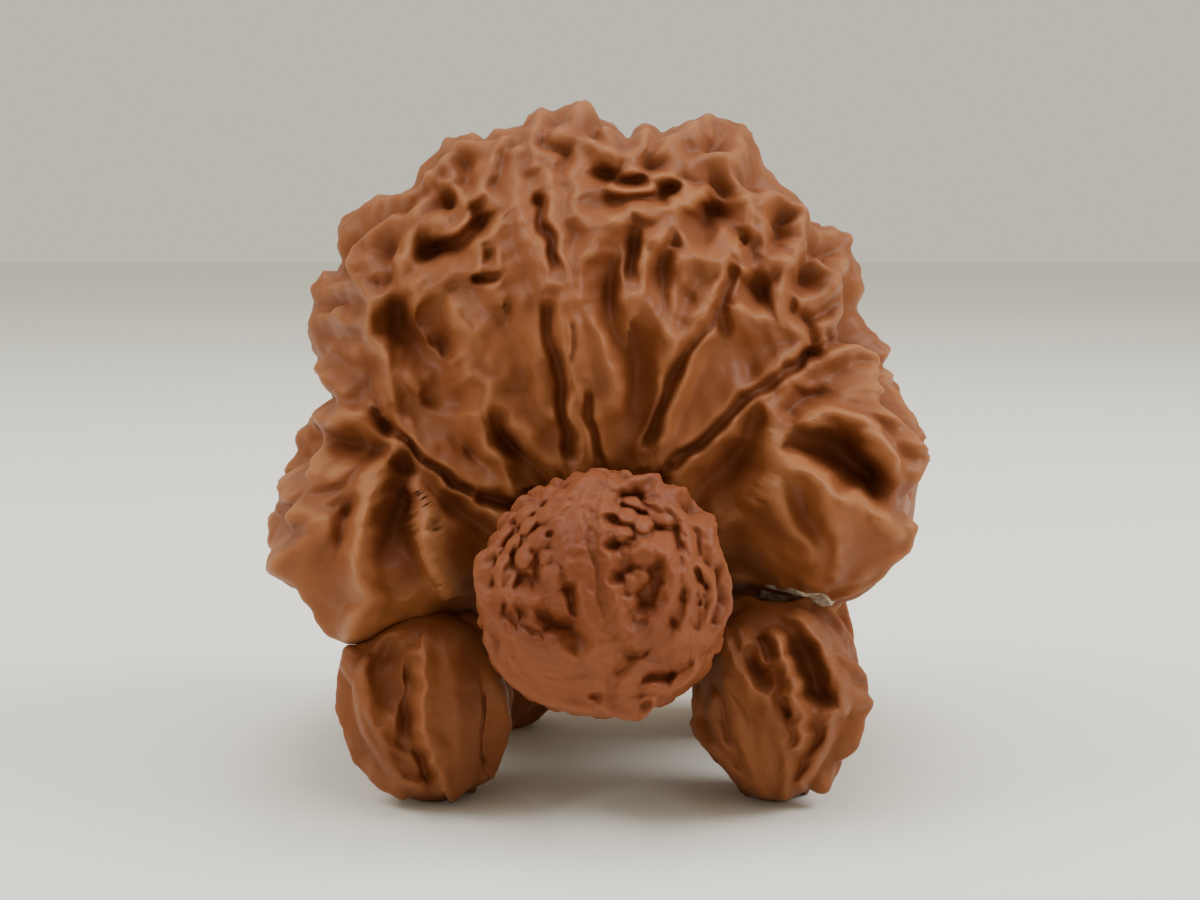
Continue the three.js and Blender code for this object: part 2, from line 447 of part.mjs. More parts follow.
// Folds of the two front feet, which the photo shows.
const FOOT_FOLDS = {
  front_left: [
    ['outer edge', [[348, 640], [338, 690], [341, 728], [357, 763], [395, 800]], 1.26, 1.2, 1.2],
    ['outer rib', [
      [352, 655], [348, 680], [356, 703], [361, 722], [364, 745], [371, 763], [384, 782],
    ], 1.4, 0.9, 0.9],
    ['bright rib', [
      [361, 672], [361, 695], [367, 712], [379, 732], [387, 754], [400, 780], [413, 798],
    ], 1.54, 1.1, 1.2],
    ['lip of the cleft', [
      [420, 655], [417, 690], [416, 715], [425, 735], [434, 755], [440, 780], [446, 800],
    ], 1.96, 2.2, 0.8],
    ['broad front', [[448, 655], [455, 700], [458, 740], [460, 780]], 1.12, 2, 2],
    ['inner edge', [[498, 680], [508, 715], [506, 750], [494, 782]], 0.98, 1.5, 1.5],
  ],
  front_right: [
    ['long front rib', [
      [728, 640], [733, 665], [746, 682], [760, 695], [772, 710], [781, 724], [786, 742],
    ], 1.68, 1.1, 1.6],
    ['inner front rib', [
      [722, 645], [725, 680], [735, 715], [742, 745], [752, 775], [762, 798],
    ], 1.26, 1.4, 1],
    ['short top rib', [[738, 634], [748, 650], [763, 657]], 1.26, 0.8, 0.8],
    ['wavy rib', [
      [776, 640], [780, 655], [790, 667], [796, 680], [791, 695], [797, 705], [802, 717], [799, 726],
      [803, 736], [798, 748],
    ], 2.1, 0.9, 1],
    ['tall rib', [
      [800, 618], [812, 633], [824, 648], [832, 668], [838, 685], [843, 700], [842, 710], [832, 716],
    ], 2.1, 1.1, 1.1],
    ['lower hook', [
      [800, 704], [812, 707], [823, 713], [831, 723], [829, 737], [821, 752], [811, 768], [803, 786],
    ], 1.68, 0.9, 0.9],
    ['outer rib', [[840, 676], [855, 686], [860, 706], [858, 740], [845, 770], [825, 785]], 1.54, 1, 1],
    ['outer edge', [
      [840, 655], [855, 665], [866, 682], [864, 700], [867, 720], [862, 745], [850, 770],
    ], 1.12, 1, 1],
    ['foot rib', [[785, 742], [788, 765], [786, 796]], 1.4, 0.9, 0.9],
    ['flat front', [[768, 690], [766, 730], [765, 780]], 0.98, 1.4, 1.4],
    ['inner side', [[714, 700], [712, 718], [725, 745], [742, 762]], 1.26, 0.9, 0.9],
    ['inner edge', [[685, 700], [688, 725], [705, 750], [730, 772], [745, 792]], 1.26, 1, 1],
  ],
};
// Pits of the two front feet.
const FOOT_PITS = {
  front_left: [
    ['wide cleft', [[388, 655], [396, 692]], 1.95, 2.2],
    ['deep cleft', [[408, 650], [411, 690], [409, 722], [409, 742]], 2.85, 1.2],
    ['lower cleft', [[412, 738], [424, 762], [436, 784]], 1.2, 0.8],
    ['slot', [[483, 690], [482, 720], [479, 750], [478, 770]], 0.6, 0.35],
    ['outer groove', [[355, 715], [360, 740]], 0.6, 0.4],
  ],
  front_right: [
    ['main hollow', [[802, 652], [808, 672], [817, 696]], 2.7, 1.7],
    ['outer hollow', [[847, 718], [838, 752], [826, 768]], 1.8, 1.1],
    ['inner hollow', [[706, 690], [702, 712]], 1.2, 0.8],
    ['lower inner hollow', [[730, 740], [745, 772]], 0.75, 0.7],
    ['top pit', [[766, 640], [772, 653]], 1.65, 0.8],
    ['upper groove', [[752, 652], [763, 682]], 1.35, 0.9],
    ['groove in the wavy rib', [[785, 700], [789, 712]], 1.05, 0.4],
  ],
};
const FOOT_CELLS = 46;

// Working parts

function smooth(low, high, x) {
  const t = THREE.MathUtils.clamp((x - low) / (high - low), 0, 1);
  return t * t * (3 - 2 * t);
}

// slow waves made of a few sines, for wandering crests
function wave(p, scale, seed) {
  const a = Math.sin((p.x + 0.6 * p.y - 0.8 * p.z) / scale + seed);
  const b = Math.sin((-0.7 * p.x + 1.1 * p.y + 0.5 * p.z) / scale + seed + 2.1);
  const c = Math.sin((0.4 * p.x - 0.9 * p.y + 1.2 * p.z) / scale + seed + 4.2);
  return (a + b + c) / 3;
}

// a scatter value from 0 to 1 that is the same on every run
function scatter(i, factor, seed, seedFactor, size) {
  const s = Math.sin(i * factor + seed * seedFactor) * size;
  return s - Math.floor(s);
}

// A nut's plain form: field() is below zero inside, and every ray from the middle meets its skin once.
class Form {
  constructor({ middle, blend, blobs }) {
    this.middle = new THREE.Vector3(...middle);
    this.blend = blend;
    this.blobs = blobs.map(([c, r]) => ({ c: new THREE.Vector3(...c), r: new THREE.Vector3(...r) }));
  }

  field(p) {
    let total = 0;
    for (const { c, r } of this.blobs) {
      const x = (p.x - c.x) / r.x;
      const y = (p.y - c.y) / r.y;
      const z = (p.z - c.z) / r.z;
      const k0 = Math.sqrt(x * x + y * y + z * z) + 1e-9;
      const k1 = Math.sqrt((x / r.x) ** 2 + (y / r.y) ** 2 + (z / r.z) ** 2) + 1e-9;
      total += Math.exp(-k0 * (k0 - 1) / k1 / this.blend);
    }
    return -this.blend * Math.log(total);
  }

  radius(direction) {
    const p = new THREE.Vector3();
    let low = 0;
    let high = 60;
    for (let i = 0; i < 22; i++) {
      const mid = (low + high) / 2;
      p.copy(this.middle).addScaledVector(direction, mid);
      const inside = this.field(p) < 0;
      low = inside ? mid : low;
      high = inside ? high : mid;
    }
    return (low + high) / 2;
  }

  point(direction, radius) {
    return this.middle.clone().addScaledVector(direction, radius);
  }

  // how far p lies outside the skin when it is raised by lift, along the line from the middle
  gap(p, lift) {
    const arm = p.clone().sub(this.middle);
    const reach = arm.length();
    return reach - this.radius(arm.divideScalar(reach)) - lift;
  }

  // the direction from the middle to what pixel (u, v) shows when the skin is raised by lift
  seen([u, v], lift) {
    const look = pixelRay(u, v);
    const at = (t) => EYE.clone().addScaledVector(look, t);
    let far = 0;
    let closest = Infinity;
    for (let t = LOOK_FROM; t < LOOK_TO && closest >= 0; t++) {
      const gap = this.gap(at(t), lift);
      if (gap < closest) {
        closest = gap;
        far = t;
      }
    }
    let near = far - 1;
    for (let i = 0; i < 8; i++) {
      const mid = (near + far) / 2;
      const inside = this.gap(at(mid), lift) < 0;
      far = inside ? mid : far;
      near = inside ? near : mid;
    }
    return at(far).sub(this.middle).normalize();
  }

  // a traced line laid on the skin
  lay(pixels, lift) {
    return pixels.map((pixel) => {
      const direction = this.seen(pixel, lift);
      return this.point(direction, this.radius(direction));
    });
  }
}

function pixelRay(u, v) {
  const look = AHEAD.clone();
  look.x += (u - 600) / FOCAL_PX;
  look.addScaledVector(ABOVE, (450 - v) / FOCAL_PX);
  return look.normalize();
}

// distance from p to a laid line, the side of it that p is on, and how far along the nearest place is
function nearest(p, outward, line) {
  if (line.length === 1) {
    return { distance: p.distanceTo(line[0]), left: true, along: 0 };
  }
  let best = { distance: Infinity, left: true, along: 0 };
  const ab = new THREE.Vector3();
  const w = new THREE.Vector3();
  let run = 0;
  let total = 0;
  for (let i = 0; i + 1 < line.length; i++) {
    total += line[i].distanceTo(line[i + 1]);
  }
  for (let i = 0; i + 1 < line.length; i++) {
    ab.subVectors(line[i + 1], line[i]);
    const length = ab.length();
    w.subVectors(p, line[i]);
    const t = THREE.MathUtils.clamp(w.dot(ab) / (length * length + 1e-12), 0, 1);
    w.addScaledVector(ab, -t);
    const distance = w.length();
    if (distance < best.distance) {
      const left = ab.clone().cross(w).dot(outward) > 0;
      best = { distance, left, along: (run + t * length) / total };
    }
    run += length;
  }
  return best;
}

function layAll(form, entries, raised = true) {
  return entries.map((entry) => {
    const line = form.lay(entry.pixels, raised ? entry.height : 0);
    const box = new THREE.Box3().setFromPoints(line).expandByScalar(entry.reach * 1.4);
    return { ...entry, line, box };
  });
}

function folds(list) {
  return list.map(([name, pixels, height, left, right]) => {
    return { name, pixels, height, left, right, reach: Math.max(left, right) };
  });
}

// pits and swells alike: round in section, as wide on the left as on the right
function bowls(list) {
  return list.map(([name, pixels, height, reach]) => ({ name, pixels, height, reach }));
}

function pebbles(list) {
  return list.map(([u, v, reach, height]) => ({ pixels: [[u, v]], reach, height }));
}

// Height of the folds at p: each rises to a rounded crest, and crossing folds run together.
function foldHeight(laid, p, outward, rounding, swell = 0) {
  let total = swell ** 4;
  for (const fold of laid) {
    if (!fold.box.containsPoint(p)) {
      continue;
    }
    const { distance, left } = nearest(p, outward, fold.line);
    const soft = Math.hypot(distance, rounding) - rounding;
    const d = soft / (left ? fold.left : fold.right);
    const flank = Math.max(1 - d, 0) ** 2;
    const bell = Math.max(1 - (d / 1.3) ** 2, 0) ** 2;
    total += (fold.height * (flank + bell) / 2) ** 4;
  }
  return total ** 0.25;
}

// depth of the pits at p, or height of the swells: the greatest one counts
function bowlHeight(laid, p, outward) {
  let greatest = 0;
  for (const bowl of laid) {
    if (bowl.box.containsPoint(p)) {
      const x = 1 - (nearest(p, outward, bowl.line).distance / bowl.reach) ** 2;
      greatest = x > 0 ? Math.max(greatest, bowl.height * x * x) : greatest;
    }
  }
  return greatest;
}

function pebbleHeight(laid, p, height) {
  let highest = height;
  for (const pebble of laid) {
    const x = 1 - (p.distanceTo(pebble.line[0]) / pebble.reach) ** 2;
    highest = x > 0 ? Math.max(highest, pebble.height * Math.sqrt(x)) : highest;
  }
  return highest;
}

// Middles of the cells that give the unseen sides their relief, spread evenly and then shaken.
function cellMiddles(form, count, seed, shake) {
  const middles = [];
  for (let i = 0; i < count; i++) {
    const y = 1 - 2 * (i + 0.5) / count;
    const r = Math.sqrt(1 - y * y);
    const a = i * Math.PI * (3 - Math.sqrt(5));
    const d = new THREE.Vector3(r * Math.cos(a), y, r * Math.sin(a));
    d.x += (scatter(i, 12.9898, seed, 78.233, 43758.5453) - 0.5) * shake;
    d.y += (scatter(i, 39.3468, seed, 11.135, 24634.6345) - 0.5) * shake;
    d.z += (scatter(i, 73.156, seed, 52.235, 35412.7614) - 0.5) * shake;
    d.normalize();
    middles.push(form.point(d, form.radius(d)));
  }
  return middles;
}

// how much nearer the nearest cell middle is than the next: zero on the border of two cells
function borderGap(p, middles, stretch) {
  let first = Infinity;
  let second = Infinity;
  for (const m of middles) {
    const d = Math.hypot((p.x - m.x) / stretch.x, (p.y - m.y) / stretch.y, (p.z - m.z) / stretch.z);
    second = Math.min(Math.max(first, d), second);
    first = Math.min(first, d);
  }
  return second - first;
}

// p moved about a little, so that the cell borders wander
function wandered(p, amount, scale) {
  const moved = p.clone();
  moved.x += amount * wave(p, scale * 1.0, 1);
  moved.y += amount * wave(p, scale * 1.1, 5);
  moved.z += amount * wave(p, scale * 0.92, 9);
  return moved;
}

// height that the traced outline asks for, by the angle round the line of sight
function outlineRows(form) {
  const rows = BODY_OUTLINE.map(([u, v]) => {
    const look = pixelRay(u, v);
    const t = (form.middle.y - RIM_BACK - EYE.y) / look.y;
    const arm = EYE.clone().addScaledVector(look, t).sub(form.middle);
    const reach = arm.length();
    return { angle: Math.atan2(-arm.x, arm.z), height: reach - form.radius(arm.normalize()) };
  });
  return rows.sort((a, b) => a.angle - b.angle);
}

function outlineHeight(rows, angle) {
  let k = rows.findIndex((row) => row.angle > angle) - 1;
  if (k < 0) {
    k = angle < rows[0].angle ? 0 : rows.length - 2;
  }
  const t = smooth(rows[k].angle, rows[k + 1].angle, angle);
  return rows[k].height * (1 - t) + rows[k + 1].height * t;
}

// A nut's skin: a fine ball raised to the form plus the relief, then thinned out to about the wanted
// number of triangles, which keeps the crests and pits and drops points where the skin is smooth.
async function nut(form, detail, triangles, reliefAt) {
  const ball = new THREE.IcosahedronGeometry(1, detail);
  ball.deleteAttribute('normal');
  ball.deleteAttribute('uv');
  const geometry = mergeVertices(ball, 1e-5);
  const position = geometry.getAttribute('position');
  const d = new THREE.Vector3();
  for (let i = 0; i < position.count; i++) {
    d.fromBufferAttribute(position, i).normalize();
    const radius = form.radius(d);
    const q = form.point(d, radius + reliefAt(form.point(d, radius), d));
    position.setXYZ(i, q.x, q.y, q.z);
  }
  const surplus = position.count - triangles / 2;
  return new SimplifyModifier().modify(geometry, surplus);
}

// the closed solid of a geometry, its skin moved outwards from the middle by swell
function solid(geometry, middle = null, swell = 0) {
  const position = geometry.getAttribute('position').clone();
  const arm = new THREE.Vector3();
  for (let i = 0; middle && i < position.count; i++) {
    arm.fromBufferAttribute(position, i).sub(middle);
    arm.setLength(arm.length() + swell).add(middle);
    position.setXYZ(i, arm.x, arm.y, arm.z);
  }
  return new wasm.Manifold(new wasm.Mesh({
    numProp: 3,
    vertProperties: new Float32Array(position.array),
    triVerts: new Uint32Array(geometry.getIndex().array),
  }));
}

function bodyRelief(form) {
  const laidFolds = layAll(form, folds(BODY_FOLDS));
  const laidSwells = layAll(form, bowls(BODY_SWELLS));
  const laidPits = layAll(form, bowls(BODY_PITS), false);
  const middles = cellMiddles(form, BODY_CELLS, 3, 0.1);
  const stretch = new THREE.Vector3(1, 2, 1);
  const rows = outlineRows(form);
  return (p, d) => {
    const seen = smooth(0.06, 0.24, -d.y) * smooth(-0.74, -0.6, d.z);
    const raised = foldHeight(laidFolds, p, d, 0.5, bowlHeight(laidSwells, p, d));
    const front = raised - bowlHeight(laidPits, p, d) + 0.2 * wave(p, 0.9, 2);
    const gap = borderGap(wandered(p, 1.2, 2.6), middles, stretch);
    const x = THREE.MathUtils.clamp(1 - (Math.sqrt(gap * gap + 0.8) - 0.9) / 3.6, 0, 1);
    const cells = 3.2 * x * x - 0.6;
    const angle = Math.atan2(-d.x, d.z);
    const rim = smooth(2.3, 2.0, Math.abs(angle)) * smooth(-0.5, -0.05, -d.y);
    const ribs = outlineHeight(rows, angle) - 1.6 * (1 - x * x) * smooth(0, 0.3, d.y);
    const rear = cells * (1 - rim) + ribs * rim;
    return front * seen + rear * (1 - seen);
  };
}

function headRelief(form) {
  const laidFolds = layAll(form, folds(HEAD_FOLDS));
  const laidPebbles = layAll(form, pebbles(HEAD_PEBBLES));
  const laidPits = layAll(form, bowls(HEAD_PITS), false);
  const middles = cellMiddles(form, HEAD_CELLS, 5, 0.12);
  const stretch = new THREE.Vector3(1, 1, 1);
  return (p, d) => {
    const seen = smooth(-0.12, 0.12, -d.y);
    const raised = pebbleHeight(laidPebbles, p, foldHeight(laidFolds, p, d, 0.35));
    const front = raised - bowlHeight(laidPits, p, d);
    const gap = borderGap(wandered(p, 0.35, 0.9), middles, stretch);
    const rear = 0.75 * Math.sqrt(smooth(-0.05, 1.3, gap)) - 0.1;
    return front * seen + rear * (1 - seen);
  };
}

function footRelief(form, foldList, pitList, seed) {
  const laidFolds = layAll(form, folds(foldList));
  const laidPits = layAll(form, bowls(pitList), false);
  const middles = cellMiddles(form, FOOT_CELLS, seed, 0.15);
  const stretch = new THREE.Vector3(1, 1, 2.6);
  const traced = foldList.length > 0;
  return (p, d) => {
    const seen = traced ? smooth(-0.15, 0.1, -d.y) : 0;
    const front = foldHeight(laidFolds, p, d, 0.35) - bowlHeight(laidPits, p, d);
    const gap = borderGap(wandered(p, 0.5, 1.2), middles, stretch);
    const x = THREE.MathUtils.clamp(1 - (Math.sqrt(gap * gap + 0.1) - 0.3) / 1.8, 0, 1);
    const rear = 1.2 * x * x - 0.2;
    return front * seen + rear * (1 - seen);
  };
}

// the largest piece of a cut nut, without crumbs
function largest(shape) {
  const pieces = shape.decompose();
  return pieces.reduce((a, b) => (b.volume() > a.volume() ? b : a));
}

function plainSolid(geometry) {
  geometry.deleteAttribute('normal');
  geometry.deleteAttribute('uv');
  return solid(mergeVertices(geometry, 1e-4));
}

function ball(middle, radius) {
  const geometry = new THREE.IcosahedronGeometry(radius, 2);
  return plainSolid(geometry.translate(middle.x, middle.y, middle.z));
}

function toMesh(name, shape, material) {
  const data = shape.getMesh();
  const geometry = new THREE.BufferGeometry();
  geometry.setAttribute('position', new THREE.BufferAttribute(Float32Array.from(data.vertProperties), 3));
  geometry.setIndex(new THREE.BufferAttribute(Uint32Array.from(data.triVerts), 1));
  geometry.translate(...CENTRE_SHIFT);
  geometry.computeVertexNormals();
  const mesh = new THREE.Mesh(geometry, material);
  mesh.name = name;
  return mesh;
}

// The pieces

const shell = new THREE.MeshStandardMaterial({ color: 0x8a4f2b, roughness: 0.4, metalness: 0 });
const headShell = new THREE.MeshStandardMaterial({ color: 0x7e432a, roughness: 0.42, metalness: 0 });
const glue = new THREE.MeshStandardMaterial({ color: 0x7d7468, roughness: 0.25, metalness: 0 });

const group = new THREE.Group();
group.name = 'walnut_animal';

const bodyForm = new Form(BODY_FORM);
const bodySkin = await nut(bodyForm, BODY_DETAIL, BODY_TRIANGLES, bodyRelief(bodyForm));
const bodySwollen = (swell) => solid(bodySkin, bodyForm.middle, swell);
const body = bodySwollen(0);
const glueLayer = bodySwollen(GLUE_GAP + GLUE_THICK).subtract(bodySwollen(GLUE_GAP));
const keepOut = bodySwollen(2 * GLUE_GAP + GLUE_THICK);
group.add(toMesh('body_nut', body, shell));

const headForm = new Form(HEAD_FORM);
const headSkin = await nut(headForm, HEAD_DETAIL, HEAD_TRIANGLES, headRelief(headForm));
const headWhole = solid(headSkin, headForm.middle, 0);
const headKeepOut = solid(headSkin, headForm.middle, GLUE_GAP);
group.add(toMesh('head_nut', largest(headWhole.subtract(keepOut)), headShell));
group.add(toMesh('glue_head', gluePad(headWhole), glue));

const table = plainSolid(new THREE.BoxGeometry(200, 200, 40).translate(0, 0, -20));
let seed = 11;
for (const [place, settings] of Object.entries(FOOT_FORMS)) {
  const form = new Form(settings);
  const relief = footRelief(form, FOOT_FOLDS[place] ?? [], FOOT_PITS[place] ?? [], seed);
  const whole = solid(await nut(form, FOOT_DETAIL, FOOT_TRIANGLES, relief), form.middle, 0);
  const foot = whole.subtract(keepOut).subtract(headKeepOut).subtract(table);
  group.add(toMesh(`foot_${place}`, largest(foot), shell));
  group.add(toMesh(`glue_${place}`, gluePad(whole), glue));
  seed += 1;
}

// a flat drop of glue on the body's skin, where the uncut nut would run into the body
function gluePad(whole) {
  const overlap = whole.intersect(bodySwollen(GLUE_GAP)).boundingBox();
  const spot = new THREE.Vector3(...overlap.min).add(new THREE.Vector3(...overlap.max)).divideScalar(2);
  return largest(glueLayer.intersect(ball(spot, GLUE_RADIUS)));
}

export default group;
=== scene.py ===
"""Animal figure glued together from polished walnuts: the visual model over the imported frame.

One big oddly grown nut is the body, a small pebbled nut is the head and four small nuts are the
feet. Each nut is a fine ball raised to a plain form, and to the folds, pits and pebbles traced on
it from the viewpoint of the photograph. Lengths are in mm until a mesh is finished, then in metres.
"""
from math import atan2, cos, pi, radians, sin, sqrt

import bmesh
import bpy
import numpy as np
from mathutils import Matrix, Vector, noise
from mathutils.bvhtree import BVHTree


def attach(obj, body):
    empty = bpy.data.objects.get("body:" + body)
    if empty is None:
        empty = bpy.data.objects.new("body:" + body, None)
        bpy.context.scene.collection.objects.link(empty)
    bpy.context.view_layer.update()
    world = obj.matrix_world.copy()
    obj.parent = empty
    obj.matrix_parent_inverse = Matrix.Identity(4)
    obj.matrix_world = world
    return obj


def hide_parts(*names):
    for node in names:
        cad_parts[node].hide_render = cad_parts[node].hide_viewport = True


bl_info = {
    "name": "Walnut Animal Figure",
    "version": (1, 0, 0),
    "blender": (4, 5, 0),
    "location": "3D View > Sidebar > Walnut Figure",
    "description": "Builds a small animal figure made of polished walnuts around its frame",
    "category": "Add Mesh",
}

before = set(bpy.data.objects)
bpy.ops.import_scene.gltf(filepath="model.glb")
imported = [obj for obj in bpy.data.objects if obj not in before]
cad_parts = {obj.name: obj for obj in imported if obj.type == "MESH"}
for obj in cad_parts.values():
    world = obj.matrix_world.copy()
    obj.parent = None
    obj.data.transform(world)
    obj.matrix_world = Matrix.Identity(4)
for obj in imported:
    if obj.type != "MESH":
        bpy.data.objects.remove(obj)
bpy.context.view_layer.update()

MM = 0.001
CENTRE_SHIFT = np.array([0.04, -17.03, 0.0])    # from the tracing's origin to the middle of the figure

# Viewpoint of the photograph, in the tracing's own mm; pixels are of a 1200 x 900 picture
PICTURE = (1200, 900)
FOCAL_PX = 2200.0
TILT = radians(6.5)
EYE = np.array([0.0, -170.7, 47.7])
AHEAD = np.array([0.0, cos(TILT), -sin(TILT)])
ABOVE = np.array([0.0, sin(TILT), cos(TILT)])
ACROSS = np.array([1.0, 0.0, 0.0])

# Plain forms under the relief: each nut is a few ellipsoids (middle, radii) run together
BODY_FORM = {
    "middle": (-0.5, 22, 28),
    "blend": 1.1,
    "blobs": [
        ((-0.9, 23.5, 33), (21.8, 24, 21)),
        ((-16.4, 20.6, 19), (9.6, 20.6, 8.8)),
        ((17, 21, 23.2), (9.8, 22, 9.9)),
        ((0, 22, 22), (19, 20.5, 10)),
    ],
}
HEAD_FORM = {
    "middle": (0.2, -6.2, 18),
    "blend": 0.8,
    "blobs": [
        ((0.2, -6.4, 18.6), (9, 8.4, 8.3)),
        ((0.2, -6, 15), (8.4, 7.8, 6.2)),
    ],
}
FOOT_FORMS = {
    "front_left": {
        "middle": (-13.7, 1.8, 7.6),
        "blend": 0.6,
        "blobs": [
            ((-13.8, 1.8, 8.4), (6.1, 6.5, 6.8)),
            ((-13.4, 1.8, 4.6), (4.6, 4.7, 4.8)),
        ],
    },
    "front_right": {
        "middle": (13.9, 1.8, 7.6),
        "blend": 0.6,
        "blobs": [
            ((14.1, 1.8, 8.8), (6.2, 6.5, 7.2)),
            ((13.9, 1.8, 4.6), (4.2, 4.6, 4.8)),
        ],
    },
    "rear_left": {
        "middle": (-10, 27, 7),
        "blend": 0.5,
        "blobs": [
            ((-10, 27, 7.2), (6.4, 6.8, 7.4)),
        ],
    },
    "rear_right": {
        "middle": (15.8, 27, 7.5),
        "blend": 0.5,
        "blobs": [
            ((15.8, 27, 7.5), (6.4, 6.8, 7.8)),
        ],
    },
}
GLUE_GAP = 0.12      # clearance between neighbouring nuts

